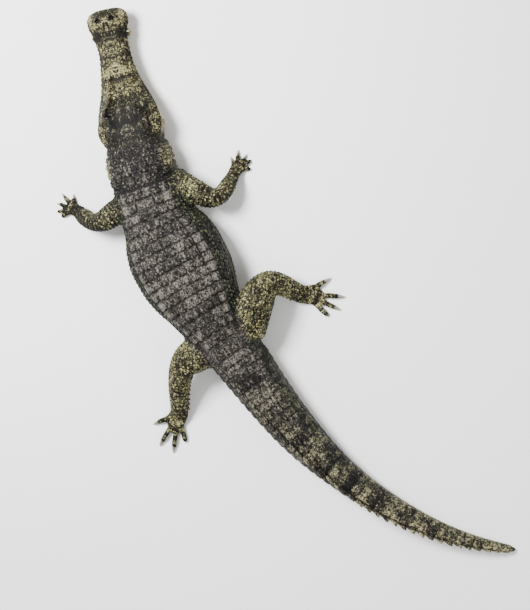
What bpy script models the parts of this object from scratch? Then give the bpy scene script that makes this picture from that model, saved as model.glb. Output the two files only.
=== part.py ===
"""Saltwater crocodile, a still life-size model of an adult that rests on its belly.

Metres, +Z up. The snout points towards +Y and a little to -X, and the tail sweeps round towards +X.
The origin is on the floor, under the middle of the animal's box. Left and right are the animal's own.

The body is one tube of changing section, laid along a spine that runs from the snout tip to the tail
tip. A station s is the distance along that spine. Each named part is a length of the tube, parted from
the next by a thin cut. The legs are lofts along their bones, cut to the body's own shape.
"""

import bmesh
import bpy
import numpy as np
from mathutils import Vector

# ---------------------------------------------------------------- driving dimensions
LENGTH = 4.41  # snout tip to tail tip, along the spine
HEAD_END = 0.83  # back of the jaws
NECK_END = 1.10
TRUNK_END = 2.23  # just behind the vent
TAIL_CUTS = (2.95, 3.66)  # the tail's three lengths
BODY_SIDES = 22
CUT = 0.0006  # width of the thin cut between two parts
SNOUT_TIP = (-1.088, 1.629)  # where the spine starts, seen from above

# Direction from the snout towards the tail, in degrees from +X, at stations along the spine.
HEADING = (
    (0.00, -78), (0.30, -77.5), (0.65, -75.0), (0.95, -75.5), (1.10, -72), (1.30, -66), (1.50, -62),
    (1.90, -59), (2.10, -56), (2.30, -54), (2.50, -53), (2.70, -50.5), (2.90, -46.5), (3.10, -41.5),
    (3.30, -36.5), (3.50, -31.5), (3.70, -26.5), (3.90, -21), (4.10, -14.5), (4.30, -9), (LENGTH, -8),
)

# Half the body's width, behind the head.
HALF_WIDTH = (
    (HEAD_END, 0.180), (0.87, 0.196), (0.93, 0.212), (1.00, 0.214), (1.10, 0.207), (1.22, 0.222),
    (1.33, 0.238), (1.44, 0.280), (1.56, 0.302), (1.68, 0.300), (1.79, 0.280), (1.90, 0.243),
    (2.01, 0.212), (2.12, 0.192), (TRUNK_END, 0.176), (2.45, 0.162), (2.70, 0.147), (2.90, 0.135),
    (3.20, 0.104), (3.50, 0.080), (3.90, 0.053), (4.20, 0.032), (4.36, 0.020), (LENGTH, 0.007),
)
# Height of the body behind the head, from its underside to the middle of its back.
HEIGHT = (
    (HEAD_END, 0.213), (0.93, 0.262), (1.10, 0.295), (1.33, 0.345), (1.56, 0.375), (1.79, 0.368),
    (2.01, 0.345), (TRUNK_END, 0.310), (2.45, 0.285), (2.70, 0.262), (2.90, 0.240), (3.20, 0.210),
    (3.50, 0.178), (3.90, 0.124), (4.20, 0.080), (4.36, 0.054), (LENGTH, 0.020),
)
# Underside above the floor. It is a little below 0 where the body presses flat on the floor.
LIFT = (
    (HEAD_END, 0.038), (0.95, 0.026), (1.10, 0.010), (1.22, -0.004), (1.40, -0.008), (2.05, -0.008),
    (TRUNK_END, -0.005), (2.50, -0.004), (LENGTH, -0.002),
)
# The tail leans over onto its left side towards the tip, in degrees.
LEAN = ((TRUNK_END, 0), (2.60, 4), (2.90, 12), (3.20, 24), (3.50, 34), (3.90, 40), (LENGTH, 42))
WIDEST = ((HEAD_END, 0.42), (1.30, 0.44), (2.00, 0.44), (2.60, 0.45), (3.20, 0.46), (LENGTH, 0.48))
BACK_SQUARE = ((HEAD_END, 2.5), (1.40, 2.35), (2.10, 2.3), (2.80, 2.0), (LENGTH, 1.8))
BELLY_SQUARE = ((HEAD_END, 2.6), (1.30, 3.0), (2.05, 3.0), (2.60, 2.4), (LENGTH, 2.0))

# Upright scutes of the tail: two rows that close in on the middle line, then one row to the tip.
WHORLS = 36
CREST_START = 2.26
CREST_END = 4.32
ROWS_MEET = 3.16
CREST_HEIGHT = (
    (CREST_START, 0.010), (2.50, 0.016), (2.80, 0.024), (ROWS_MEET, 0.034), (3.40, 0.038),
    (3.80, 0.034), (4.10, 0.026), (CREST_END, 0.012),
)

# ---------------------------------------------------------------- the head, in stations too
HEAD_HALF_WIDTH = (
    (0.00, 0.130), (0.05, 0.132), (0.08, 0.131), (0.125, 0.120), (0.17, 0.106), (0.25, 0.0985),
    (0.31, 0.101), (0.38, 0.112), (0.455, 0.128), (0.53, 0.152), (0.60, 0.179), (0.66, 0.197),
    (0.72, 0.205), (0.77, 0.201), (HEAD_END, 0.177),
)
ROOF = (
    (0.00, 0.170), (0.07, 0.180), (0.14, 0.168), (0.25, 0.162), (0.40, 0.172), (0.50, 0.186),
    (0.57, 0.207), (0.62, 0.230), (0.68, 0.246), (0.78, 0.254), (HEAD_END, 0.251),
)
CHIN = (
    (0.00, 0.072), (0.05, 0.058), (0.12, 0.050), (0.30, 0.054), (0.50, 0.046), (0.66, 0.036),
    (HEAD_END, 0.038),
)
# Where the lips meet. It dips at the two bulges of the upper jaw and sweeps up to the jaw joint.
LIPS = (
    (0.00, 0.106), (0.08, 0.096), (0.155, 0.110), (0.27, 0.097), (0.38, 0.108), (0.47, 0.102),
    (0.58, 0.116), (0.66, 0.140), (0.74, 0.165), (HEAD_END, 0.172),
)
# The ridge that bounds the top of the head: its distance from the middle line, and its rise.
RIDGE_OUT = (
    (0.00, 0.060), (0.10, 0.066), (0.20, 0.052), (0.42, 0.054), (0.52, 0.070), (0.58, 0.090),
    (0.65, 0.099), (HEAD_END, 0.100),
)
RIDGE_RISE = (
    (0.00, -0.006), (0.20, 0.001), (0.42, 0.004), (0.54, 0.010), (0.61, 0.030), (0.66, 0.014),
    (0.71, 0.005), (HEAD_END, 0.002),
)
# The lower jaw is narrower than the upper one, except where its large fourth tooth stands.
JAW_HALF_WIDTH = (
    (0.00, 0.108), (0.05, 0.110), (0.10, 0.105), (0.135, 0.109), (0.158, 0.126), (0.178, 0.112),
    (0.195, 0.086), (0.22, 0.079), (0.31, 0.081), (0.38, 0.093), (0.455, 0.109), (0.53, 0.133),
    (0.60, 0.164), (0.66, 0.189), (0.72, 0.199), (0.77, 0.194), (HEAD_END, 0.175),
)
SNOUT_ROUND_PLAN, SNOUT_ROUND_SIDE = 0.085, 0.045  # how far back the snout tip is rounded
EYE = (0.622, 0.114, 0.239)  # station, out from the middle line, height
EYE_RADIUS = 0.024
UPPER_TEETH = (  # station and length past the lip
    (0.024, 0.014), (0.050, 0.016), (0.080, 0.024), (0.106, 0.022), (0.208, 0.014), (0.232, 0.018),
    (0.260, 0.026), (0.290, 0.032), (0.322, 0.028), (0.352, 0.018), (0.382, 0.016), (0.414, 0.020),
    (0.446, 0.026), (0.478, 0.024), (0.510, 0.018), (0.542, 0.015), (0.572, 0.012),
)
FOURTH_TOOTH = (0.158, 0.034)

# ---------------------------------------------------------------- the legs
# Joints are (x, y, z). Digits are (bearing in degrees from +X, length from the wrist or ankle).
FRONT_RADII = ((0.0, 0.088, 0.088), (0.30, 0.074, 0.074), (0.58, 0.056, 0.060), (0.80, 0.055, 0.050),
               (1.0, 0.040, 0.030))
HIND_RADII = ((0.0, 0.125, 0.100), (0.28, 0.110, 0.094), (0.56, 0.077, 0.072), (0.78, 0.066, 0.060),
              (1.0, 0.057, 0.038))
LEGS = {
    "front_right": dict(
        joints=((-0.669, 0.608, 0.150), (-0.396, 0.491, 0.160), (-0.302, 0.629, 0.042)),
        radii=FRONT_RADII, split=0.60, palm=(0.060, 0.049), digit=(0.0175, 0.0115),
        digits=((102, 0.084), (81, 0.124), (59, 0.118), (41, 0.130), (19, 0.104)),
    ),
    "front_left": dict(
        joints=((-0.939, 0.453, 0.150), (-1.126, 0.331, 0.160), (-1.297, 0.389, 0.042)),
        radii=FRONT_RADII, split=0.58, palm=(0.060, 0.049), digit=(0.0175, 0.0115),
        digits=((112, 0.084), (137, 0.130), (163, 0.128), (182, 0.142), (200, 0.120)),
    ),
    "hind_right": dict(
        joints=((-0.204, -0.327, 0.160), (-0.068, -0.022, 0.190), (0.098, -0.084, 0.055)),
        radii=HIND_RADII, split=0.54, palm=(0.088, 0.065), digit=(0.0220, 0.0150),
        digits=((23, 0.178), (-5, 0.248), (-22, 0.242), (-38, 0.225)),
    ),
    "hind_left": dict(
        joints=((-0.409, -0.407, 0.160), (-0.592, -0.546, 0.190), (-0.646, -0.830, 0.055)),
        radii=HIND_RADII, split=0.56, palm=(0.088, 0.065), digit=(0.0220, 0.0150),
        digits=((212, 0.176), (240, 0.246), (259, 0.252), (277, 0.208)),
    ),
}
TAIL_CLEARANCE = 0.008  # between a thigh and the root of the tail
BEND_LENGTH = 0.8  # under 1 makes knees and elbows tighter
CLAWED = 3  # only the three inner digits of each foot carry a claw
CLAW_LENGTH = {"front": 0.030, "hind": 0.044}
PALM_SIDES = 10
PALM_LIFT = 0.0015  # the palm clears the floor by this much, so that the digits carry the foot

# Colour, roughness and metallic value of each kind of part.
FINISHES = {
    "back_hide": ((0.085, 0.080, 0.068), 0.62, 0.0),
    "limb_hide": ((0.170, 0.160, 0.085), 0.62, 0.0),
    "jaw_hide": ((0.420, 0.380, 0.240), 0.58, 0.0),
    "eye": ((0.300, 0.240, 0.060), 0.12, 0.0),
    "claw": ((0.120, 0.105, 0.085), 0.38, 0.0),
}


# ---------------------------------------------------------------- curves and places
def along(table, s):
    """The table's value at s, on a smooth curve that never overshoots its own points."""
    x, y = np.array(table, float).T
    slope = np.diff(y) / np.diff(x)
    before, after = slope[:-1], slope[1:]
    same_way = before * after > 0
    inner = np.where(same_way, 2 * before * after / np.where(same_way, before + after, 1), 0)
    tangent = np.concatenate([slope[:1], inner, slope[-1:]])
    s = np.clip(s, x[0], x[-1])
    i = np.clip(np.searchsorted(x, s, side="right") - 1, 0, len(x) - 2)
    width = x[i + 1] - x[i]
    t = (s - x[i]) / width
    return (
        y[i] * (1 + 2 * t) * (1 - t) ** 2
        + y[i + 1] * t * t * (3 - 2 * t)
        + width * (tangent[i] * t * (1 - t) ** 2 - tangent[i + 1] * t * t * (1 - t))
    )


def curve_through(points, count):
    """Count points on a smooth curve through the given ones, evenly spaced in its parameter."""
    points = np.array(points, float)
    at = np.linspace(0, len(points) - 1, count)
    stations = np.arange(len(points))
    return np.stack([along(np.stack([stations, p], 1), at) for p in points.T], 1)


def lay_spine(step=0.004):
    """Stations along the spine, with the place of each, seen from above."""
    s = np.arange(0, LENGTH + step, step)
    heading = np.radians(along(HEADING, s))
    moves = np.stack([np.cos(heading), np.sin(heading)], 1)[:-1] * step
    return s, np.array(SNOUT_TIP) + np.concatenate([[[0, 0]], np.cumsum(moves, 0)])


SPINE_S, SPINE_XY = lay_spine()


def place(s, out, up):
    """Points in space at station s, out to the animal's left, up from the floor."""
    heading = np.radians(along(HEADING, s))
    x = np.interp(s, SPINE_S, SPINE_XY[:, 0]) + out * np.sin(heading)
    y = np.interp(s, SPINE_S, SPINE_XY[:, 1]) - out * np.cos(heading)
    return np.stack(np.broadcast_arrays(x, y, np.maximum(up, 0)), -1)


def power(value, exponent):
    return np.sign(value) * np.abs(value) ** exponent


def body_section(s, angle, swell=0.0):
    """(out, up) of the body's skin at station s. Angle 0 is the back, 90 degrees the left flank.

    The section is a squarish oval, widest a little below its middle, and flat where it rests.
    """
    half, height = along(HALF_WIDTH, s) + swell, along(HEIGHT, s)
    waist = height * along(WIDEST, s)
    upper = np.cos(angle) >= 0
    square = np.where(upper, along(BACK_SQUARE, s), along(BELLY_SQUARE, s))
    out = half * power(np.sin(angle), 2 / square)
    reach = np.where(upper, height - waist, waist) + swell
    up = reach * power(np.cos(angle), 2 / square)
    return out, up, waist


def settled(s, out, up, waist):
    """Leans the section over and sets it down on the floor, for a point (out, up) from its waist."""
    lean = np.radians(along(LEAN, s))
    half = along(HALF_WIDTH, s)
    lowest = np.hypot(half * np.sin(lean), waist * np.cos(lean))
    across = out * np.cos(lean) + up * np.sin(lean)
    return across, up * np.cos(lean) - out * np.sin(lean) + lowest + along(LIFT, s)


def body_ring(s, sides, swell=0.0):
    angle = np.linspace(0, 2 * np.pi, sides, endpoint=False)
    out, up, waist = body_section(s, angle, swell)
    return place(s, *settled(s, out, up, waist))


# ---------------------------------------------------------------- making solids
def material(name):
    if name in bpy.data.materials:
        return bpy.data.materials[name]
    colour, roughness, metallic = FINISHES[name]
    made = bpy.data.materials.new(name)
    made.use_nodes = True
    shader = made.node_tree.nodes["Principled BSDF"]
    shader.inputs["Base Color"].default_value = (*colour, 1)
    shader.inputs["Roughness"].default_value = roughness
    shader.inputs["Metallic"].default_value = metallic
    return made


def object_from(bm, name, finish, collection):
    bmesh.ops.recalc_face_normals(bm, faces=bm.faces)
    mesh = bpy.data.meshes.new(name)
    bm.to_mesh(mesh)
    bm.free()
    mesh.shade_smooth()
    mesh.set_sharp_from_angle(angle=np.radians(50))
    obj = bpy.data.objects.new(name, mesh)
    obj.data.materials.append(material(finish))
    collection.objects.link(obj)
    return obj


def add_loft(bm, rings):
    """A closed tube through rings of equal length, with a cap on each end."""
    loops = [[bm.verts.new(p) for p in ring] for ring in rings]
    for a, b in zip(loops, loops[1:]):
        for k in range(len(a)):
            bm.faces.new((a[k - 1], a[k], b[k], b[k - 1]))
    bm.faces.new(loops[0])
    bm.faces.new(loops[-1][::-1])


def loft(name, rings, finish, collection):
    bm = bmesh.new()
    add_loft(bm, rings)
    return object_from(bm, name, finish, collection)


def combine(obj, operation, other):
    """Joins the helper to the object, or cuts it away."""
    other.hide_render = True
    other.display_type = "WIRE"
    step = obj.modifiers.new(other.name, "BOOLEAN")
    step.operation = operation
    step.object = other


def stations(start, end, spacing):
    """Evenly spaced stations between two cuts."""
    count = max(2, round((end - start) / spacing) + 1)
    return np.linspace(start + CUT / 2, end - CUT / 2, count)


# ---------------------------------------------------------------- the head
def snout_close(s, length):
    """How far the section has opened behind the rounded snout tip, from 0 to 1."""
    short = np.clip(1 - s / length, 0, 1)
    return (1 - short**2.6) ** (1 / 2.6)


def upper_head_ring(s):
    """Across the top from the left lip to the right lip, and back along the lips."""
    wide, tall = snout_close(s, SNOUT_ROUND_PLAN), snout_close(s, SNOUT_ROUND_SIDE)
    lips, roof = along(LIPS, s) + CUT / 2, along(ROOF, s)
    middle = (lips + roof) / 2
    half, ridge, rise = along(HEAD_HALF_WIDTH, s), along(RIDGE_OUT, s), along(RIDGE_RISE, s)
    wall = half - 0.30 * (half - ridge)
    left = [
        (half - 0.006, lips), (half, lips + 0.012), (wall, lips + 0.55 * (roof - lips)),
        (ridge, roof + rise), (0.55 * ridge, roof - 0.2 * abs(rise)), (0, roof),
    ]
    side = curve_through(left, 8)
    profile = np.concatenate([side, side[-2::-1] * (-1, 1)])
    floor_of_mouth = [(-0.5 * half, lips), (0, lips), (0.5 * half, lips)]
    profile = np.concatenate([profile, floor_of_mouth])
    up = middle + (profile[:, 1] - middle) * tall
    return place(s, profile[:, 0] * wide, up)


def lower_jaw_ring(s):
    """Round the underside from the left lip to the right lip, and back along the lips."""
    wide, tall = snout_close(s, SNOUT_ROUND_PLAN), snout_close(s, SNOUT_ROUND_SIDE)
    lips, chin, half = along(LIPS, s) - CUT / 2, along(CHIN, s), along(JAW_HALF_WIDTH, s)
    left = [
        (half - 0.004, lips), (half, lips - 0.25 * (lips - chin)), (0.90 * half, chin + 0.012),
        (0.55 * half, chin), (0, chin),
    ]
    side = curve_through(left, 8)
    profile = np.concatenate([side, side[-2::-1] * (-1, 1), [(0, lips)]])
    up = lips + (profile[:, 1] - lips) * tall
    return place(s, profile[:, 0] * wide, up)


def head_stations():
    """Close together round the snout tip, then evenly spaced, with one at the fourth tooth."""
    tip = np.array([0.003, 0.007, 0.015, 0.029, 0.049])
    spacing = (FOURTH_TOOTH[0] - tip[-1]) / 3
    body = np.arange(tip[-1] + spacing, HEAD_END - 0.01, spacing)
    return np.concatenate([tip, body, [HEAD_END - CUT / 2]])


def add_tooth(bm, s, side, out, root, tip, radius):
    """A cone from its root to its tip, at a station and out from the middle line."""
    foot = Vector(place(s, side * out, root))
    point = Vector(place(s, side * (out + 0.002), tip))
    rings = []
    for share, thickness in ((0.0, 1.0), (1.0, 0.14)):
        centre = foot.lerp(point, share)
        turn = np.linspace(0, 2 * np.pi, 5, endpoint=False)
        rings.append([
            centre + Vector((np.cos(a), np.sin(a), 0)) * radius * thickness for a in turn
        ])
    add_loft(bm, rings)


def make_head(parts, cutters):
    upper = loft("upper_head", [upper_head_ring(s) for s in head_stations()], "limb_hide", parts)
    lower = loft("lower_jaw", [lower_jaw_ring(s) for s in head_stations()[2:]], "jaw_hide", parts)

    bm = bmesh.new()
    for side in (1, -1):
        for s, length in UPPER_TEETH:
            lips = along(LIPS, s)
            out = along(HEAD_HALF_WIDTH, s) * snout_close(s, SNOUT_ROUND_PLAN) - 0.0085
            add_tooth(bm, s, side, out, lips + 0.010, lips - length, 0.0035 + 0.08 * length)
    combine(upper, "UNION", object_from(bm, "upper_teeth", "jaw_hide", cutters))

    bm = bmesh.new()
    s, length = FOURTH_TOOTH
    out = along(HEAD_HALF_WIDTH, s) + 0.0095
    for side in (1, -1):
        lips = along(LIPS, s)
        add_tooth(bm, s, side, out, lips - 0.014, lips + length, 0.0065)
    combine(lower, "UNION", object_from(bm, "lower_teeth", "jaw_hide", cutters))

    s, out, up = EYE
    for name, side in (("left", 1), ("right", -1)):
        for radius, kind, group in ((EYE_RADIUS, "eye", parts), (EYE_RADIUS + CUT, "socket", cutters)):
            bm = bmesh.new()
            bmesh.ops.create_uvsphere(bm, u_segments=10, v_segments=8, radius=radius)
            bmesh.ops.translate(bm, verts=bm.verts, vec=place(s, side * out, up))
            made = object_from(bm, f"{kind}_{name}", "eye", group)
            if kind == "socket":
                combine(upper, "DIFFERENCE", made)


# ---------------------------------------------------------------- neck, trunk and tail
def whorl_stations(start, end):
    """Two stations for each ring of tail scutes: its low front and its high rear edge."""
    edges = np.linspace(CREST_START, CREST_END, WHORLS + 1)
    rear = edges[:-1] + 0.78 * np.diff(edges)
    inside = np.sort(np.concatenate([edges, rear]))
    inside = inside[(inside > start + 0.008) & (inside < end - 0.008)]
    return np.concatenate([[start + CUT / 2], inside, [end - CUT / 2]])


def crest_share(s):
    """How much of its full height a tail scute has at s: low in front, high at its rear edge."""
    place_in_whorl = (s - CREST_START) / (CREST_END - CREST_START) * WHORLS % 1
    return 0.5 + 0.5 * np.clip(place_in_whorl / 0.78, 0, 1) ** 1.4 * (place_in_whorl < 0.97)


def tail_ring(s, sides=9):
    """A body ring with its scutes raised: two rows at first, and one in the middle further back."""
    gap = np.clip((ROWS_MEET - s) / (ROWS_MEET - TRUNK_END), 0, 1)
    row = 0.09 + 0.62 * gap
    flanks = np.linspace(row + 0.35, 2 * np.pi - row - 0.35, sides)
    angle = np.concatenate([[0, row], flanks, [2 * np.pi - row]])
    out, up, waist = body_section(s, angle)
    raised = along(CREST_HEIGHT, s) * crest_share(s) if s < CREST_END else 0.0
    double = np.clip((ROWS_MEET - s) / 0.06, 0, 1)
    up = up + raised * np.concatenate([[1 - double], [double], np.zeros(sides), [double]])
    return place(s, *settled(s, out, up, waist))


def neck_stations():
    return stations(HEAD_END, NECK_END, 0.055)


def trunk_stations():
    return stations(NECK_END, TRUNK_END, 0.066)


def make_body(parts):
    loft("neck", [body_ring(s, BODY_SIDES) for s in neck_stations()], "back_hide", parts)
    loft("trunk", [body_ring(s, BODY_SIDES) for s in trunk_stations()], "back_hide", parts)
    ends = (TRUNK_END, *TAIL_CUTS, LENGTH)
    for name, start, end in zip(("tail_base", "tail_middle", "tail_tip"), ends, ends[1:]):
        rings = [tail_ring(s) for s in whorl_stations(start, end)]
        loft(name, rings, "back_hide", parts)


# ---------------------------------------------------------------- the legs
def oval(centre, across, upward, wide, tall, sides):
    turn = np.linspace(0, 2 * np.pi, sides, endpoint=False)
    return [centre + across * wide * np.cos(a) + upward * tall * np.sin(a) for a in turn]


def level_frame(way):
    """The two directions across a limb that points this way, the first of them level."""
    across = way.cross(Vector((0, 0, 1))).normalized()
    return across, across.cross(way)


def level_way(bearing):
    return Vector((np.cos(bearing), np.sin(bearing), 0))


def leg_point(leg, share):
    """A point on the smooth line from the hip or shoulder, round the knee or elbow, to the foot."""
    top, bend, end = (Vector(joint) for joint in leg["joints"])
    through = (end - top) * 0.5 * BEND_LENGTH
    half = 0 if share < 0.5 else 1
    start, stop = ((top, bend), (bend, end))[half]
    loose = (stop - start) * 1.5 - through * 0.5
    leave, arrive = ((loose, through), (through, loose))[half]
    t = share * 2 - half
    return (
        start * (1 + 2 * t) * (1 - t) ** 2
        + stop * t * t * (3 - 2 * t)
        + leave * t * (1 - t) ** 2
        - arrive * t * t * (1 - t)
    )


def leg_ring(leg, share, shift=0.0, sides=11):
    """A ring round the leg's line, moved along the line by the shift."""
    centre = leg_point(leg, share)
    way = (leg_point(leg, share + 0.01) - leg_point(leg, share - 0.01)).normalized()
    wide, tall = (along([(r[0], r[k]) for r in leg["radii"]], share) for k in (1, 2))
    return oval(centre + way * shift, *level_frame(way), wide, tall, sides), way


def leg_rings(leg, start, end, count, shifts):
    """Rings between two shares of a leg. The shifts move the two end rings, to make room for cuts."""
    shares = np.linspace(start, end, count)
    moved = [shifts[0], *[0.0] * (count - 2), shifts[1]]
    return [leg_ring(leg, share, shift)[0] for share, shift in zip(shares, moved)]


def on_floor(rings, floor=0.0):
    """Flattens whatever would reach below the floor."""
    return [[Vector((p.x, p.y, max(p.z, floor))) for p in ring] for ring in rings]


def digit_rings(start, bearing, length, thick, thin, sides=6):
    """A digit that arches a little and lies on the floor."""
    way = level_way(bearing)
    rings = []
    for share in (0, 0.35, 0.7, 1.0):
        radius = thick + (thin - thick) * share
        radius *= 1 + 0.10 * np.sin(share * 3 * np.pi) - 0.25 * (share == 1.0)
        centre = start + way * length * share
        centre.z = radius * 0.86 + 0.006 * np.sin(np.pi * share)
        rings.append(oval(centre, *level_frame(way), radius, radius, sides))
    return on_floor(rings)


def claw_rings(start, bearing, length, radius, sides=5):
    """A claw that curves down to its point, just above the floor."""
    way = level_way(bearing)
    rings = []
    for share in (0, 0.35, 0.7, 1.0):
        thickness = radius * (1 - share) ** 0.8 + 0.0008
        centre = start + way * length * share
        centre.z = start.z + (0.0016 - start.z) * share**2.2 + 0.10 * length * np.sin(np.pi * share)
        rings.append(oval(centre, *level_frame(way), thickness, thickness, sides))
    return on_floor(rings)


def palm_rings(leg, wrist, forward):
    """From the wrist or ankle down on to the floor, broadening towards the digits."""
    palm_length, palm_half = leg["palm"]
    low = leg["digit"][0] * 0.8
    wide, tall = leg["radii"][-1][1:]
    wrist_ring, way = leg_ring(leg, 1, CUT, PALM_SIDES)
    bend = wrist + way * palm_length * 0.45
    palm_end = wrist + forward * palm_length
    palm_end.z = low
    rings = [wrist_ring]
    for share in (0.25, 0.5, 0.75, 1.0):
        centre = wrist.lerp(bend, share).lerp(bend.lerp(palm_end, share), share)
        half = wide + (palm_half - wide) * share**0.8
        height = tall + (low - tall) * share
        turned = level_frame(way.lerp(forward, share).normalized())
        rings.append(oval(centre, *turned, half, height, PALM_SIDES))
    return on_floor(rings, PALM_LIFT)


def make_foot(name, leg, parts, cutters):
    """The palm joined to its digits, and a claw on each of the inner digits."""
    wrist = Vector(leg["joints"][-1])
    palm_length = leg["palm"][0]
    thick, thin = leg["digit"]
    claw_length = CLAW_LENGTH[name.split("_")[0]]
    bearings = np.radians([bearing for bearing, _ in leg["digits"]])
    forward = level_way((bearings[0] + bearings[-1]) / 2)
    foot = loft(f"{name}_foot", palm_rings(leg, wrist, forward), "limb_hide", parts)

    for number, (bearing, (_, length)) in enumerate(zip(bearings, leg["digits"]), 1):
        way = level_way(bearing)
        root = wrist + forward * palm_length * 0.35 + way * palm_length * 0.25
        tip = wrist + way * length
        digit = tip - root
        turned = np.arctan2(digit.y, digit.x)
        toe = digit_rings(root, turned, digit.length, thick, thin)
        combine(foot, "UNION", loft(f"{name}_digit_{number}", toe, "limb_hide", cutters))
        if number <= CLAWED:
            end = tip + way * CUT
            end.z = thin * 0.86
            claw = claw_rings(end, turned, claw_length, thin * 0.72)
            loft(f"{name}_claw_{number}", claw, "claw", parts)


def make_leg(name, leg, body_cutter, parts, cutters):
    upper_name, lower_name = ("upper_arm", "forearm") if "front" in name else ("thigh", "shank")
    rings = leg_rings(leg, 0, leg["split"], 7, (0, -CUT / 2))
    upper = loft(f"{name}_{upper_name}", rings, "limb_hide", parts)
    combine(upper, "DIFFERENCE", body_cutter)
    rings = on_floor(leg_rings(leg, leg["split"], 1, 6, (CUT / 2, 0)))
    loft(f"{name}_{lower_name}", rings, "limb_hide", parts)
    make_foot(name, leg, parts, cutters)


def main():
    for obj in list(bpy.data.objects):
        bpy.data.objects.remove(obj)
    parts = bpy.data.collections.new("saltwater_crocodile")
    cutters = bpy.data.collections.new("cutters")
    for collection in (parts, cutters):
        bpy.context.scene.collection.children.link(collection)
    make_head(parts, cutters)
    make_body(parts)
    close = (*neck_stations()[:-1], *trunk_stations()[:-1])
    rings = [body_ring(s, BODY_SIDES, swell=CUT) for s in close]
    rings += [body_ring(s, BODY_SIDES, swell=TAIL_CLEARANCE) for s in (TRUNK_END, TRUNK_END + 0.15)]
    body_cutter = loft("body_cutter", rings, "back_hide", cutters)
    for name, leg in LEGS.items():
        make_leg(name, leg, body_cutter, parts, cutters)


main()
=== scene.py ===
import math
from collections import namedtuple

import bmesh
import bpy
import numpy as np
from mathutils import Matrix, Vector, noise
from mathutils.bvhtree import BVHTree
from mathutils.kdtree import KDTree


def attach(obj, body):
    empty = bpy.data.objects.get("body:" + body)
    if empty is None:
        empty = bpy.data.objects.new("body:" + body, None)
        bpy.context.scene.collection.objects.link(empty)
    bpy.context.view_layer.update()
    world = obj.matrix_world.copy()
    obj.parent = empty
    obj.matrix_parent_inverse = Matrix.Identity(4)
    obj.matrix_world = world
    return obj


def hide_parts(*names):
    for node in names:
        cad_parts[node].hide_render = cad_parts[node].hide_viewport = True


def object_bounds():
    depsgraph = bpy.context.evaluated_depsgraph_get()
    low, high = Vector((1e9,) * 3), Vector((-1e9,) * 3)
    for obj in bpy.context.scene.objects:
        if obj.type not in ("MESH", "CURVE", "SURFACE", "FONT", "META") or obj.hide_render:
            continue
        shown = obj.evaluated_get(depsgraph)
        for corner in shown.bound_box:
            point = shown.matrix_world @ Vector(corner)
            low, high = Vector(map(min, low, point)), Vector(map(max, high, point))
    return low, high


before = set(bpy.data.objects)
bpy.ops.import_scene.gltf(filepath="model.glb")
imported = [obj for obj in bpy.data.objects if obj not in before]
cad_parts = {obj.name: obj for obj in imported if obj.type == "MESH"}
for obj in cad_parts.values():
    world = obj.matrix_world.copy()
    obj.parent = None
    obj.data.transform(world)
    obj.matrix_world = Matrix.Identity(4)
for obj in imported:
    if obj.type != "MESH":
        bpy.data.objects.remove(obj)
solid_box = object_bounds()
chance = np.random.default_rng(7)

# ==================================================================== hide: the line and girth of the body
# The hide is one unbroken sheet over muscle and bone, from the snout to the tail tip and down every
# toe. It is worked out here from the animal's own line and girth, and it lies under the scales by
# their depth. A station is the distance along the spine, in metres from the snout tip.
LENGTH, HEAD_END, TRUNK_START, TRUNK_END = 4.41, 0.83, 1.10, 2.23
SNOUT_TIP = (-1.088, 1.629)
HEADING = (
    (0.00, -78), (0.30, -77.5), (0.65, -75.0), (0.95, -75.5), (1.10, -72), (1.30, -66), (1.50, -62),
    (1.90, -59), (2.10, -56), (2.30, -54), (2.50, -53), (2.70, -50.5), (2.90, -46.5), (3.10, -41.5),
    (3.30, -36.5), (3.50, -31.5), (3.70, -26.5), (3.90, -21), (4.10, -14.5), (4.30, -9), (LENGTH, -8),
)
HALF_WIDTH = (
    (HEAD_END, 0.180), (0.87, 0.196), (0.93, 0.212), (1.00, 0.214), (1.10, 0.207), (1.22, 0.222),
    (1.33, 0.238), (1.44, 0.280), (1.56, 0.302), (1.68, 0.300), (1.79, 0.280), (1.90, 0.243),
    (2.01, 0.212), (2.12, 0.192), (TRUNK_END, 0.176), (2.45, 0.162), (2.70, 0.147), (2.90, 0.135),
    (3.20, 0.104), (3.50, 0.080), (3.90, 0.053), (4.20, 0.032), (4.36, 0.020), (LENGTH, 0.007),
)
HEIGHT = (
    (HEAD_END, 0.213), (0.93, 0.262), (1.10, 0.295), (1.33, 0.345), (1.56, 0.375), (1.79, 0.368),
    (2.01, 0.345), (TRUNK_END, 0.310), (2.45, 0.285), (2.70, 0.262), (2.90, 0.240), (3.20, 0.210),
    (3.50, 0.178), (3.90, 0.124), (4.20, 0.080), (4.36, 0.054), (LENGTH, 0.020),
)
LIFT = (
    (HEAD_END, 0.038), (0.95, 0.026), (1.10, 0.010), (1.22, -0.004), (1.40, -0.008), (2.05, -0.008),
    (TRUNK_END, -0.005), (2.50, -0.004), (LENGTH, -0.002),
)
LEAN = ((TRUNK_END, 0), (2.60, 4), (2.90, 12), (3.20, 24), (3.50, 34), (3.90, 40), (LENGTH, 42))
WIDEST = ((HEAD_END, 0.42), (1.30, 0.44), (2.00, 0.44), (2.60, 0.45), (3.20, 0.46), (LENGTH, 0.48))
BACK_SQUARE = ((HEAD_END, 2.5), (1.40, 2.35), (2.10, 2.3), (2.80, 2.0), (LENGTH, 1.8))
BELLY_SQUARE = ((HEAD_END, 2.6), (1.30, 3.0), (2.05, 3.0), (2.60, 2.4), (LENGTH, 2.0))
COAT_DEPTH = ((0.70, 0.001), (0.95, 0.004), (1.15, 0.006), (2.90, 0.005), (3.90, 0.003), (LENGTH, 0.001))
SPINE_STEP, FLOOR_GAP = 0.004, 0.0012


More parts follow.
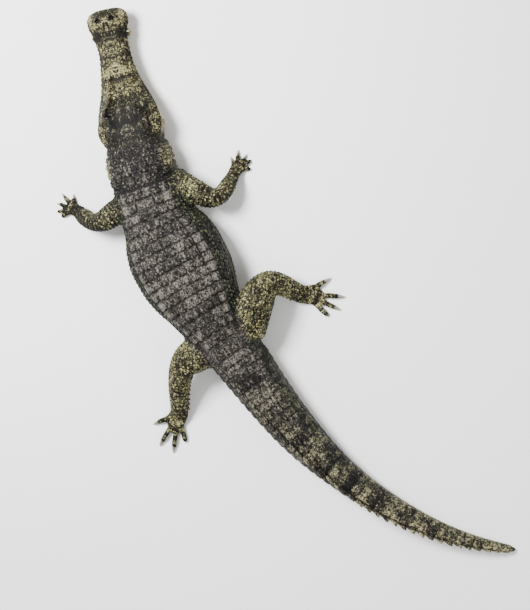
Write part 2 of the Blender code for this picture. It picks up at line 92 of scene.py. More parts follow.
def along(table, s):
    """The table's value at s, on a smooth curve that never overshoots its own points."""
    x, y = np.array(table, float).T
    slope = np.diff(y) / np.diff(x)
    before, after = slope[:-1], slope[1:]
    same_way = before * after > 0
    inner = np.where(same_way, 2 * before * after / np.where(same_way, before + after, 1), 0)
    tangent = np.concatenate([slope[:1], inner, slope[-1:]])
    s = np.clip(s, x[0], x[-1])
    i = np.clip(np.searchsorted(x, s, side="right") - 1, 0, len(x) - 2)
    width = x[i + 1] - x[i]
    t = (s - x[i]) / width
    return (
        y[i] * (1 + 2 * t) * (1 - t) ** 2 + y[i + 1] * t * t * (3 - 2 * t)
        + width * (tangent[i] * t * (1 - t) ** 2 - tangent[i + 1] * t * t * (1 - t))
    )


def ease(value, low, high):
    """0 below low, 1 above high, and smooth between. It also runs downhill, where low is higher."""
    t = np.clip((value - low) / (high - low), 0, 1)
    return t * t * (3 - 2 * t)


spine_s = np.arange(0, LENGTH + SPINE_STEP, SPINE_STEP)
spine_heading = np.radians(along(HEADING, spine_s))
spine_steps = np.stack([np.cos(spine_heading), np.sin(spine_heading)], 1)[:-1] * SPINE_STEP
spine_xy = np.array(SNOUT_TIP) + np.concatenate([[[0, 0]], np.cumsum(spine_steps, 0)])


def place(s, out, up):
    """Points in space at station s, out to the animal's left, up from the floor."""
    heading = np.radians(along(HEADING, s))
    x = np.interp(s, spine_s, spine_xy[:, 0]) + out * np.sin(heading)
    y = np.interp(s, spine_s, spine_xy[:, 1]) - out * np.cos(heading)
    return np.stack(np.broadcast_arrays(x, y, up), -1)


def power(value, exponent):
    return np.sign(value) * np.abs(value) ** exponent


def body_points(s, angle, swell=0.0):
    """Places on the body at station s, at an angle round from the back towards the left flank."""
    half, height = along(HALF_WIDTH, s) + swell, along(HEIGHT, s)
    waist = height * along(WIDEST, s)
    upper = np.cos(angle) >= 0
    square = np.where(upper, along(BACK_SQUARE, s), along(BELLY_SQUARE, s))
    out = half * power(np.sin(angle), 2 / square)
    up = (np.where(upper, height - waist, waist) + swell) * power(np.cos(angle), 2 / square)
    lean = np.radians(along(LEAN, s))
    lowest = np.hypot((half - swell) * np.sin(lean), waist * np.cos(lean))
    across = out * np.cos(lean) + up * np.sin(lean)
    level = up * np.cos(lean) - out * np.sin(lean) + lowest + along(LIFT, s)
    return place(s, across, np.maximum(level, FLOOR_GAP))


def spine_coordinates(points):
    """Station and distance out of any points, from the nearest place on the spine."""
    coarse = slice(0, None, 4)
    s = np.empty(len(points))
    for part in np.array_split(np.arange(len(points)), max(1, len(points) // 20000)):
        gap = points[part, None, :2] - spine_xy[None, coarse]
        s[part] = spine_s[coarse][np.argmin((gap**2).sum(-1), 1)]
    for _ in range(2):
        heading = np.radians(along(HEADING, s))
        gap = points[:, :2] - place(s, 0.0, 0.0)[:, :2]
        s = np.clip(s + gap[:, 0] * np.cos(heading) + gap[:, 1] * np.sin(heading), -0.05, LENGTH + 0.05)
    heading = np.radians(along(HEADING, s))
    gap = points[:, :2] - place(np.clip(s, 0, LENGTH), 0.0, 0.0)[:, :2]
    return s, gap[:, 0] * np.sin(heading) - gap[:, 1] * np.cos(heading)


def body_coordinates(points):
    """Station, angle round the body, and distance out of its surface."""
    s, out = spine_coordinates(points)
    half, height = along(HALF_WIDTH, s), along(HEIGHT, s)
    waist = height * along(WIDEST, s)
    lean = np.radians(along(LEAN, s))
    level = points[:, 2] - np.hypot(half * np.sin(lean), waist * np.cos(lean)) - along(LIFT, s)
    across = out * np.cos(lean) - level * np.sin(lean)
    up = out * np.sin(lean) + level * np.cos(lean)
    square = np.where(up >= 0, along(BACK_SQUARE, s), along(BELLY_SQUARE, s))
    reach = np.where(up >= 0, height - waist, waist)
    a, b = np.abs(across / half) ** (square / 2), np.abs(up / reach) ** (square / 2)
    angle = np.arctan2(np.sign(across) * a, np.sign(up) * b)
    return s, angle, ((a * a + b * b) ** (1 / square) - 1) * half

# -------------------------------------------------------------------- hide: the head
# Skin lies tight on the skull. The upper jaw overhangs the lower one, bulges over its large teeth,
# and carries the nostrils, the ridges in front of the eyes and the flat table behind them.
HEAD_HALF_WIDTH = (
    (0.00, 0.130), (0.05, 0.132), (0.08, 0.131), (0.125, 0.120), (0.17, 0.106), (0.25, 0.0985),
    (0.31, 0.101), (0.38, 0.112), (0.455, 0.128), (0.53, 0.152), (0.60, 0.179), (0.66, 0.197),
    (0.72, 0.205), (0.77, 0.201), (HEAD_END, 0.177),
)
ROOF = (
    (0.00, 0.170), (0.07, 0.180), (0.14, 0.168), (0.25, 0.162), (0.40, 0.172), (0.50, 0.186),
    (0.57, 0.207), (0.62, 0.230), (0.68, 0.246), (0.78, 0.254), (HEAD_END, 0.251),
)
CHIN = (
    (0.00, 0.072), (0.05, 0.058), (0.12, 0.050), (0.30, 0.054), (0.50, 0.046), (0.66, 0.036),
    (HEAD_END, 0.038),
)
LIPS = (
    (0.00, 0.106), (0.08, 0.096), (0.155, 0.110), (0.27, 0.097), (0.38, 0.108), (0.47, 0.102),
    (0.58, 0.116), (0.66, 0.140), (0.74, 0.165), (HEAD_END, 0.172),
)
RIDGE_OUT = (
    (0.00, 0.060), (0.10, 0.066), (0.20, 0.052), (0.42, 0.054), (0.52, 0.070), (0.58, 0.090),
    (0.65, 0.099), (HEAD_END, 0.100),
)
RIDGE_RISE = (
    (0.00, -0.006), (0.20, 0.001), (0.42, 0.004), (0.54, 0.010), (0.61, 0.030), (0.66, 0.014),
    (0.71, 0.005), (HEAD_END, 0.002),
)
JAW_HALF_WIDTH = (
    (0.00, 0.108), (0.05, 0.110), (0.10, 0.105), (0.135, 0.109), (0.158, 0.130), (0.178, 0.122),
    (0.198, 0.104), (0.22, 0.084), (0.31, 0.081), (0.38, 0.093), (0.455, 0.109), (0.53, 0.133),
    (0.60, 0.164), (0.66, 0.189), (0.72, 0.199), (0.77, 0.194), (HEAD_END, 0.175),
)
SNOUT_ROUND_PLAN, SNOUT_ROUND_SIDE = 0.085, 0.045
EYE, EYE_RADIUS = (0.622, 0.114, 0.239), 0.024
UPPER_TEETH = (
    (0.024, 0.014), (0.050, 0.016), (0.080, 0.024), (0.106, 0.022), (0.208, 0.014), (0.232, 0.018),
    (0.260, 0.026), (0.290, 0.032), (0.322, 0.028), (0.352, 0.018), (0.382, 0.016), (0.414, 0.020),
    (0.446, 0.026), (0.478, 0.024), (0.510, 0.018), (0.542, 0.015), (0.572, 0.012),
)
SKIN_INSET = 0.0015  # the head has no scales over its skin, so the skin lies this close to the full form


def unit(v):
    return v / np.linalg.norm(v)


def eye_frame(edge):
    """Centre of the eye and its directions: outwards, forwards and up."""
    centre = place(EYE[0], edge * EYE[1], EYE[2])
    heading = math.radians(float(along(HEADING, EYE[0])))
    front = -np.array([math.cos(heading), math.sin(heading), 0])
    left = np.array([math.sin(heading), -math.cos(heading), 0])
    axis = unit(left * edge * 0.85 + front * 0.26 + np.array([0, 0, 0.45]))
    forwards = unit(front - axis * (front @ axis))
    return centre, axis, forwards, np.cross(axis, forwards) * edge


def curve_through(points, count):
    points = np.array(points, float)
    at = np.linspace(0, len(points) - 1, count)
    return np.stack([along(np.stack([np.arange(len(points)), p], 1), at) for p in points.T], 1)


def snout_close(s, length):
    short = np.clip(1 - s / length, 0, 1)
    return (1 - short**2.6) ** (1 / 2.6)


def head_ring(s, left, count, inside, level):
    """A closed ring: the outline of the left side, its mirror image, and the side inside the mouth."""
    wide, tall = snout_close(s, SNOUT_ROUND_PLAN), snout_close(s, SNOUT_ROUND_SIDE)
    side = curve_through(left, count)
    profile = np.concatenate([side, side[-2::-1] * (-1, 1), inside])
    return place(s, profile[:, 0] * wide, level + (profile[:, 1] - level) * tall)


def upper_head_ring(s):
    lips, roof = along(LIPS, s), along(ROOF, s) - SKIN_INSET
    half, ridge = along(HEAD_HALF_WIDTH, s) - SKIN_INSET, along(RIDGE_OUT, s) - SKIN_INSET
    rise = along(RIDGE_RISE, s)
    wall = half - 0.30 * (half - ridge)
    left = [
        (half - 0.006, lips), (half, lips + 0.012), (wall, lips + 0.55 * (roof - lips)),
        (ridge, roof + rise), (0.55 * ridge, roof - 0.2 * abs(rise)), (0, roof),
    ]
    palate = [(share * half, lips - 0.004) for share in (-0.8, -0.4, 0, 0.4, 0.8)]
    return head_ring(s, left, 31, palate, (lips + roof) / 2)


def lower_jaw_ring(s):
    lips, chin = along(LIPS, s) - 0.001, along(CHIN, s) + SKIN_INSET
    half = along(JAW_HALF_WIDTH, s) - SKIN_INSET
    left = [
        (half - 0.004, lips), (half, lips - 0.25 * (lips - chin)), (0.90 * half, chin + 0.012),
        (0.55 * half, chin), (0, chin),
    ]
    tongue = [(share * half, lips + 0.004) for share in (-0.7, -0.3, 0.3, 0.7)]
    return head_ring(s, left, 25, tongue, lips)

# -------------------------------------------------------------------- hide: the legs
# Each leg is a tapering column of muscle round two long bones, bent at the knee or elbow, and ends
# in a broad foot. The hind toes are joined by a web, and the three inner toes carry claws.
FRONT_RADII = ((0.0, 0.088, 0.088), (0.30, 0.074, 0.074), (0.58, 0.056, 0.060), (0.80, 0.055, 0.050),
               (1.0, 0.040, 0.030))
HIND_RADII = ((0.0, 0.125, 0.100), (0.28, 0.110, 0.094), (0.56, 0.077, 0.072), (0.78, 0.066, 0.060),
              (1.0, 0.057, 0.038))
FRONT_FOOT = dict(radii=FRONT_RADII, palm=(0.060, 0.049), digit=(0.0175, 0.0115), claw=0.030, web=0.22)
HIND_FOOT = dict(radii=HIND_RADII, palm=(0.088, 0.065), digit=(0.0220, 0.0150), claw=0.044, web=0.62)
LEGS = {
    "front_right": dict(
        FRONT_FOOT, joints=((-0.669, 0.608, 0.150), (-0.396, 0.491, 0.160), (-0.302, 0.629, 0.042)),
        digits=((102, 0.084), (81, 0.124), (59, 0.118), (41, 0.130), (19, 0.104))),
    "front_left": dict(
        FRONT_FOOT, joints=((-0.939, 0.453, 0.150), (-1.126, 0.331, 0.160), (-1.297, 0.389, 0.042)),
        digits=((112, 0.084), (137, 0.130), (163, 0.128), (182, 0.142), (200, 0.120))),
    "hind_right": dict(
        HIND_FOOT, joints=((-0.204, -0.327, 0.160), (-0.068, -0.022, 0.190), (0.098, -0.084, 0.055)),
        digits=((23, 0.178), (-5, 0.248), (-22, 0.242), (-38, 0.225))),
    "hind_left": dict(
        HIND_FOOT, joints=((-0.409, -0.407, 0.160), (-0.592, -0.546, 0.190), (-0.646, -0.830, 0.055)),
        digits=((212, 0.176), (240, 0.246), (259, 0.252), (277, 0.208))),
}
BEND_LENGTH, LEG_COAT, PALM_COAT, TOE_COAT, WEB_DEPTH = 0.8, 0.003, 0.0015, 0.0008, 0.0065
HIDE_GRAIN = 0.0075


def leg_point(leg, share):
    """A place on the leg's middle line, which bends smoothly through the knee or elbow."""
    top, bend, end = (np.array(joint) for joint in leg["joints"])
    through = (end - top) * 0.5 * BEND_LENGTH
    half = 0 if share < 0.5 else 1
    start, stop = ((top, bend), (bend, end))[half]
    loose = (stop - start) * 1.5 - through * 0.5
    leave, arrive = ((loose, through), (through, loose))[half]
    t = share * 2 - half
    return (
        start * (1 + 2 * t) * (1 - t) ** 2 + stop * t * t * (3 - 2 * t)
        + leave * t * (1 - t) ** 2 - arrive * t * t * (1 - t)
    )


def frame_across(way):
    across = unit(np.cross(way, (0, 0, 1)))
    return across, np.cross(across, way)


def oval(centre, across, upward, wide, tall, angle):
    return centre + np.outer(np.cos(angle) * wide, across) + np.outer(np.sin(angle) * tall, upward)


def leg_ring(leg, share, angle, inset):
    """Points round the leg, and the direction down the leg there."""
    way = unit(leg_point(leg, share + 0.01) - leg_point(leg, share - 0.01))
    wide, tall = (along([(r[0], r[k]) for r in leg["radii"]], share) - inset for k in (1, 2))
    return oval(leg_point(leg, share), *frame_across(way), wide, tall, angle), way


def flat_way(bearing):
    return np.array([math.cos(bearing), math.sin(bearing), 0.0])


def palm_rings(leg, angle, inset):
    """Rings from the wrist or ankle out over the flat of the foot, and the way the foot points."""
    wrist = np.array(leg["joints"][-1])
    bearings = np.radians([b for b, _ in leg["digits"]])
    forward = flat_way((bearings[0] + bearings[-1]) / 2)
    length, palm_half = leg["palm"]
    _, way = leg_ring(leg, 1.0, angle, inset)
    wide, tall = leg["radii"][-1][1:]
    flat = leg["digit"][0] * 0.8
    end = wrist + forward * length
    end[2] = flat
    bend = wrist + way * length * 0.45
    rings = []
    for share in np.linspace(0, 1.1, 12):
        centre = wrist * (1 - share) ** 2 + bend * 2 * share * (1 - share) + end * share**2
        half = wide + (palm_half - wide) * min(share, 1) ** 0.8 - inset
        height = tall + (flat - tall) * share - inset
        shrink = 1 - 0.35 * ease(share, 0.9, 1.1)
        turned = frame_across(unit(way + (forward - way) * min(share, 1)))
        rings.append(oval(centre, *turned, half * shrink, height * shrink, angle))
    return rings, forward


def digit_line(leg, number, forward):
    """Root, bearing and length of a toe."""
    wrist, palm_length = np.array(leg["joints"][-1]), leg["palm"][0]
    bearing, length = leg["digits"][number]
    way = flat_way(math.radians(bearing))
    root = wrist + (forward * 0.35 + way * 0.25) * palm_length
    to_tip = wrist + way * length - root
    return root, math.atan2(to_tip[1], to_tip[0]), math.hypot(to_tip[0], to_tip[1])


def digit_centre(leg, line, share):
    """A place along a toe and its radius there: knuckles swell a little between the joints."""
    root, bearing, length = line
    thick, thin = leg["digit"]
    radius = (thick + (thin - thick) * share) * (1 + 0.10 * math.sin(share * 3 * math.pi))
    centre = root + flat_way(bearing) * length * share
    centre[2] = radius * 0.86 + 0.006 * math.sin(math.pi * min(share, 1))
    return centre, radius


def toe_rings(leg, line):
    rings = []
    for share, blunt in (*((share, 1) for share in np.linspace(0, 1, 16)), (1.03, 0.8), (1.05, 0.45)):
        centre, radius = digit_centre(leg, line, share)
        radius = (radius - TOE_COAT) * blunt
        rings.append(oval(centre, *frame_across(flat_way(line[1])), radius, radius, leg_turns[::2]))
    return rings


def web_rings(leg, inner, outer):
    """Rings of the skin that joins the roots of two toes."""
    rings = []
    for share in np.linspace(0.05, leg["web"], 10):
        a, b = digit_centre(leg, inner, share)[0], digit_centre(leg, outer, share * 0.88)[0]
        middle = (a + b) / 2
        middle[2] = min(a[2], b[2]) * 0.8
        half = np.linalg.norm(a[:2] - b[:2]) / 2
        between_toes = unit((a - b) * (1, 1, 0))
        rings.append(oval(middle, between_toes, np.array([0, 0, 1]), half, WEB_DEPTH, leg_turns[::2]))
    return rings


def tube_faces(rows, sides, start=0):
    """Faces of a tube with closed ends, on rings of points that follow one another."""
    index = start + np.arange(rows * sides).reshape(rows, sides)
    ahead = np.roll(index, -1, axis=1)
    quads = np.stack([index[:-1], ahead[:-1], ahead[1:], index[1:]], -1).reshape(-1, 4)
    return quads.tolist() + [index[0][::-1].tolist(), index[-1].tolist()]


body_turns, leg_turns = (np.linspace(0, 2 * np.pi, sides, endpoint=False) for sides in (96, 32))
body_s = np.concatenate([np.arange(HEAD_END - 0.03, LENGTH - 0.02, 0.008), [LENGTH - 0.012, LENGTH - 0.006]])
snout_s, skull_s = 0.003 + 0.05 * np.linspace(0, 1, 14) ** 2, np.arange(0.06, HEAD_END + 0.02, 0.007)
head_s = np.concatenate([snout_s, skull_s])
tubes = [
    [body_points(s, body_turns, -along(COAT_DEPTH, s)) for s in body_s],
    [upper_head_ring(s) for s in head_s],
    [lower_jaw_ring(s) for s in head_s[4:]],
]
for leg in LEGS.values():
    palm, forward = palm_rings(leg, leg_turns, PALM_COAT)
    tubes += [[leg_ring(leg, t, leg_turns, LEG_COAT)[0] for t in np.linspace(0, 1, 40)], palm]
    toes = [digit_line(leg, number, forward) for number in range(len(leg["digits"]))]
    tubes += [toe_rings(leg, toe) for toe in toes]
    tubes += [web_rings(leg, inner, outer) for inner, outer in zip(toes, toes[1:])]
points, faces = [], []
for tube in map(np.array, tubes):
    tube[..., 2] = np.maximum(tube[..., 2], FLOOR_GAP)
    faces += tube_faces(*tube.shape[:2], start=sum(map(len, points)))
    points.append(tube.reshape(-1, 3))
rough = bpy.data.meshes.new("hide_forms")
rough.from_pydata(np.concatenate(points).tolist(), [], faces)
hide = bpy.data.objects.new("hide", rough)
bpy.context.scene.collection.objects.link(hide)
union = hide.modifiers.new("union", "REMESH")
union.mode = "VOXEL"
union.voxel_size = HIDE_GRAIN
united = bpy.data.meshes.new_from_object(hide.evaluated_get(bpy.context.evaluated_depsgraph_get()))
hide.modifiers.clear()
hide.data = united
hide.data.name = "hide"


def read(items, field, each=1, kind=float):
    """The numbers that a mesh holds for its vertices, edges, faces or corners."""
    numbers = np.empty(len(items) * each, kind)
    items.foreach_get(field, numbers)
    return numbers.reshape(-1, each) if each > 1 else numbers


def move_vertices(mesh, places):
    places[:, 2] = np.maximum(places[:, 2], FLOOR_GAP)
    mesh.vertices.foreach_set("co", places.ravel())
    mesh.update()


def leg_distance(points):
    """Distance from the nearest leg's surface, negative inside, and its share of the leg's length."""
    best, at = np.full(len(points), 9.0), np.zeros(len(points))
    shares = np.linspace(0, 1, 41)
    for leg in LEGS.values():
        line = np.array([leg_point(leg, t) for t in shares])
        near = np.flatnonzero(np.linalg.norm(points - line[20], axis=1) < 0.75)
        radii = along([r[:2] for r in leg["radii"]], shares)
        gap = np.linalg.norm(points[near, None] - line, axis=-1) - radii
        nearest, gap = shares[gap.argmin(1)], gap.min(1)
        better = gap < best[near]
        best[near[better]], at[near[better]] = gap[better], nearest[better]
    return best, at


# The head carries finer forms, so its faces are made smaller, most of all at the nostrils and eyes.
def refine(wanted):
    bm = bmesh.new()
    bm.from_mesh(hide.data)
    bm.verts.ensure_lookup_table()
    edges = [e for e in bm.edges if wanted[e.verts[0].index] and wanted[e.verts[1].index]]
    bmesh.ops.subdivide_edges(bm, edges=edges, cuts=1, use_grid_fill=True)
    bm.to_mesh(hide.data)
    bm.free()


s, out = spine_coordinates(read(hide.data.vertices, "co", 3))
refine(s < HEAD_END - 0.04)
places = read(hide.data.vertices, "co", 3)
s, out = spine_coordinates(places)
by_eye = np.min([np.linalg.norm(places - eye_frame(edge)[0], axis=1) for edge in (-1, 1)], axis=0)
at_nostrils = (s > 0.035) & (s < 0.100) & (np.abs(out) < 0.062) & (places[:, 2] > 0.14)
refine(at_nostrils | (by_eye < 0.048))

# Muscles run on from the body into the legs, so the hide is smoothed most where they meet.
EVEN_STEPS, SWELL_STEPS, BLEND_STEPS = 6, (1, 3, 5), 34
places = read(hide.data.vertices, "co", 3)
ends = read(hide.data.edges, "vertices", 2, int)
neighbours = np.bincount(ends.ravel(), minlength=len(places))[:, None]


def to_neighbours(values):
    """How far each vertex is from the middle of its neighbours."""
    total = sum(
        np.stack([np.bincount(ends[:, a], axis[ends[:, b]], len(values)) for axis in values.T], 1)
        for a, b in ((0, 1), (1, 0)))
    return total / neighbours - values


s, around, body_gap = body_coordinates(places)
leg_gap, leg_share = leg_distance(places)
joint = np.exp(-(body_gap / 0.035) ** 2 - (leg_gap / 0.035) ** 2) * (s > HEAD_END)
shoulder = np.exp(-((s - HEAD_END) / 0.035) ** 2)
blend = np.clip(joint * 1.6 + shoulder * 0.7, 0, 1)[:, None] * 0.8
for step in range(BLEND_STEPS):
    places += to_neighbours(places) * (0.5 if step < EVEN_STEPS else blend)
    if step in SWELL_STEPS:
        places -= to_neighbours(places) * 0.45
move_vertices(hide.data, places)

# -------------------------------------------------------------------- hide: carving the head and folds
# Bone, cartilage and loose skin show through: the nostril disc, two ridges in front of the eyes, the
# brows, the ear slits, swellings over the teeth, the mouth's line, and folds in the neck and flanks.
SKULL_MOUNDS = (  # station, distance out, length, width and rise
    (0.068, 0.000, 0.030, 0.050, 0.0095),   # the disc that carries the nostrils
    (0.165, 0.040, 0.030, 0.030, -0.0040),  # hollow behind it
    (0.725, 0.050, 0.030, 0.022, -0.0040),  # hollow of the skull table
)
SKULL_RIDGES = (  # start and end as station and distance out, width, rise, share lost on the way, knobs
    ((0.590, 0.084), (0.350, 0.034), 0.0105, 0.0125, 0.55, 0.22),  # in front of the eye
    ((0.600, 0.030), (0.440, 0.004), 0.0200, -0.0050, 0.0, 0.0),   # groove between those ridges
    ((0.665, 0.094), (0.795, 0.106), 0.0105, 0.0060, 0.0, 0.0),    # edge of the skull table
)
CHEEK_MOUNDS = ((0.745, 0.110, 0.052, 0.045, 0.0110), (0.655, 0.175, 0.030, 0.025, -0.0050))
NOSTRIL, NOSTRIL_RADIUS, FIELD_PITCH, KNOB_PITCH, FOLD_PITCH = (0.067, 0.046), 0.0095, 0.0145, 0.043, 0.047
LID_GAP = 0.0050
places, normals = read(hide.data.vertices, "co", 3), read(hide.data.vertex_normals, "vector", 3)
s, out = spine_coordinates(places)
side, level = np.abs(out), places[:, 2]
lips, roof = along(LIPS, s), along(ROOF, s)


def bell(offset, size):
    return np.exp(-((offset / size) ** 2))


def spot(a, b, a0, b0, a_size, b_size):
    return bell(a - a0, a_size) * bell(b - b0, b_size)


def between(value, start, full, last, end):
    """1 from full to last, falling smoothly to 0 at start and end."""
    return ease(value, start, full) * ease(value, end, last)


def line_gap(a, b, start, end):
    """Distance in the plane of a and b from the line between two points, and the share along it."""
    start, way = np.array(start), np.subtract(end, start)
    t = np.clip(((a - start[0]) * way[0] + (b - start[1]) * way[1]) / (way @ way), 0, 1)
    return np.hypot(a - start[0] - way[0] * t, b - start[1] - way[1] * t), t


top = np.zeros(len(s))
for *where, amount in SKULL_MOUNDS:
    top += amount * spot(s, side, *where)
for start, end, width, amount, lost, knobs in SKULL_RIDGES:
    gap, t = line_gap(s, side, start, end)
    top += amount * bell(gap, width) * (1 - lost * t) * (1 + knobs * np.sin(s * 2 * np.pi / KNOB_PITCH))
behind, beside = s - NOSTRIL[0], side - NOSTRIL[1]
away = np.hypot(behind, beside)
top -= 0.0125 * bell(away - NOSTRIL_RADIUS, 0.0050) * ease(behind - beside * 0.6, 0.010, -0.002)
top += 0.0030 * bell(away - 2 * NOSTRIL_RADIUS, 0.0060)
top -= 0.0110 * between(s, 0.803, 0.818, 0.825, 0.880) * ease(side, 0.16, 0.12)
rise = top * ease(normals[:, 2], 0.2, 0.7)
rise += 0.0085 * spot(s, side, 0.797, 0.104, 0.017, 0.016)
above_ear = level - (roof - 0.021)
ear = between(s, 0.655, 0.675, 0.755, 0.775) * between(side, 0.085, 0.100, 0.145, 0.160)
rise += (0.0040 * bell(above_ear - 0.010, 0.0050) - 0.0100 * bell(above_ear, 0.0045)) * ear
for *where, amount in CHEEK_MOUNDS:
    rise += amount * spot(s, level, *where) * ease(side, 0.10 if amount > 0 else 0.12, 0.15)
mouth = ease(s, 0.765, 0.745) * ease(side, 0.02, 0.05)
rise += (0.0030 * bell(level - lips - 0.012, 0.0060) - 0.0085 * bell(level - lips, 0.0040)) * mouth
for at, length in UPPER_TEETH:
    bulge = spot(s, level, at, along(LIPS, at) + 0.016, 0.0105, 0.012)
    rise += (0.0010 + 0.11 * length) * bulge * ease(side, 0.05, 0.08)
throat = ease(normals[:, 2], -0.3, -0.8) * ease(s, 0.35, 0.5)
rise += 0.0012 * np.sin(out * 2 * np.pi / 0.022) * throat

# The skin of the head has no true scales. It has cracked into small fields as it grew.
seeds = np.meshgrid(np.arange(0.0, 0.87, FIELD_PITCH), np.arange(-0.26, 0.27, FIELD_PITCH))
seeds = [(line + chance.uniform(-0.0055, 0.0055, line.shape)).ravel().tolist() for line in seeds]
fields = KDTree(len(seeds[0]))
for number, (a, b) in enumerate(zip(*seeds)):
    fields.insert((a, b, 0), number)
fields.balance()
unrolled = np.sign(out) * (side + np.abs(level - roof) * 0.9)
cracked = np.zeros(len(s))
for k in np.flatnonzero(s < HEAD_END + 0.02).tolist():
    nearest, second = fields.find_n((s[k], unrolled[k], 0), 2)
    cracked[k] = math.exp(-(((second[2] - nearest[2]) / 0.0030) ** 2))
rise -= 0.0017 * cracked * ease(s, 0.02, 0.06)
on_head = ease(s, HEAD_END, HEAD_END - 0.06)
rise += 0.0024 * np.array([
    noise.noise(Vector(p) * 62) * 0.6 + noise.noise(Vector(p) * 150) * 0.4 if share > 0 else 0.0
    for p, share in zip(places.tolist(), on_head.tolist())
])
rise *= on_head
flank = np.sin(np.clip(np.abs(around), 0, np.pi)) ** 2 * (s > 0.76)
neck_folds = np.sin((s + 0.012 * np.sin(level * 31 + s * 9)) * 2 * np.pi / FOLD_PITCH)
rise += 0.0042 * neck_folds * between(s, 0.76, 0.84, 1.06, 1.16) * flank
rise -= 0.007 * between(s, 1.2, 1.35, 1.9, 2.05) * bell(np.abs(around) - 1.75, 0.18)
places += normals * rise[:, None]

# The socket's rim swells up round each eye, highest over it as the brow, and the hide ends inside it.
for edge in (-1, 1):
    centre, axis, forwards, upwards = eye_frame(edge)
    local = places - centre
    outward, upper = local @ axis, local @ upwards
    from_axis = np.hypot(local @ forwards, upper)
    rim = 0.0035 + 0.0055 * np.clip(upper / np.maximum(from_axis, 1e-4), 0, 1)
    lifted = np.maximum(rim - outward, 0) * ease(from_axis, EYE_RADIUS + 0.034, EYE_RADIUS + 0.003)
    change = np.where(from_axis < EYE_RADIUS - 0.0015, -0.009 - outward, lifted)
    near = (np.abs(outward) < 0.055) & (from_axis < EYE_RADIUS + 0.036)
    places += axis * np.where(near, change, 0)[:, None]
    local = places - centre
    far = np.linalg.norm(local, axis=1)
    hold = ease((local @ axis) / far, 0.24, 0.10) * (far < EYE_RADIUS + 0.010)
    places += local * ((np.maximum(EYE_RADIUS + LID_GAP, far) / far - 1) * hold)[:, None]
move_vertices(hide.data, places)
hide.data.shade_smooth()
hide_tree = BVHTree.FromObject(hide, bpy.context.evaluated_depsgraph_get())

# -------------------------------------------------------------------- hide: markings, painted shade and finish
# Dark pigment lies in specks, blotches and bands over an olive and grey ground. It is the same on
# the hide and on the scales, because every piece reads the same pattern at its place in space.
SHIELD = ((HEAD_END, 1.00), (1.10, 0.88), (1.40, 0.90), (TRUNK_END, 0.92), (3.10, 0.80), (LENGTH, 0.7))
BLOTCHES = (  # station, distance out, length, width, and how much lighter or darker
    # snout, with its nostrils and crossbars
    (0.028, 0.000, 0.016, 0.060, -0.12), (0.050, 0.098, 0.030, 0.022, 0.20),
    # The darkest blotch, at the nostrils, is painted shade in the nostril grooves.
    (0.062, 0.046, 0.016, 0.014, -0.60), (0.092, 0.050, 0.018, 0.030, 0.14),
    (0.165, 0.070, 0.035, 0.030, -0.34), (0.245, 0.030, 0.030, 0.045, 0.05),
    (0.350, 0.010, 0.030, 0.028, 0.09), (0.300, 0.088, 0.050, 0.016, -0.12),
    (0.430, 0.030, 0.013, 0.016, -0.42), (0.424, 0.074, 0.012, 0.014, -0.36),
    (0.396, 0.056, 0.018, 0.020, 0.16),
    # skull, jowls and neck
    (0.555, 0.050, 0.030, 0.070, -0.22), (0.640, 0.166, 0.022, 0.018, 0.36),
    (0.700, 0.178, 0.022, 0.020, 0.38), (0.780, 0.166, 0.030, 0.020, 0.30),
    (0.730, 0.000, 0.030, 0.022, 0.24), (0.690, 0.060, 0.030, 0.026, -0.28),
    (0.985, 0.190, 0.030, 0.030, 0.22), (0.915, 0.180, 0.025, 0.030, 0.18),
    (1.100, 0.000, 0.030, 0.200, -0.12),
    # bands of the tail
    (2.470, 0.030, 0.045, 0.050, -0.12), (2.930, 0.020, 0.035, 0.070, -0.16),
    (3.120, 0.020, 0.035, 0.080, -0.18), (3.220, 0.040, 0.030, 0.030, 0.16),
    (3.320, 0.020, 0.035, 0.070, -0.18), (3.420, 0.030, 0.030, 0.030, 0.16),
    (3.520, 0.000, 0.035, 0.070, -0.18), (3.720, 0.000, 0.035, 0.060, -0.14),
    (3.910, 0.000, 0.030, 0.060, -0.14),
)
PIGMENT = {  # dark, middle and light colours of each region
    # The flank's near-black is partly its own dark colour and partly painted shade on the sides that turn
    # from the light; its light colour stands for painted glints.
    "Flank": ((0.0016, 0.0016, 0.0015), (0.0072, 0.0074, 0.0060), (0.0850, 0.0880, 0.0500)),
    "Back": ((0.0035, 0.0030, 0.0026), (0.0225, 0.0195, 0.0162), (0.1380, 0.1250, 0.1060)),
    "Tail": ((0.0040, 0.0034, 0.0034), (0.0480, 0.0425, 0.0310), (0.3700, 0.3380, 0.1800)),
    "Belly": ((0.1000, 0.0800, 0.0350), (0.3000, 0.2550, 0.1350), (0.5400, 0.4700, 0.2700)),
    "Snout": ((0.0050, 0.0042, 0.0024), (0.0860, 0.0790, 0.0390), (0.3500, 0.3200, 0.1500)),
    "Leg": ((0.0034, 0.0028, 0.0016), (0.0660, 0.0620, 0.0310), (0.3500, 0.3250, 0.1500)),
}


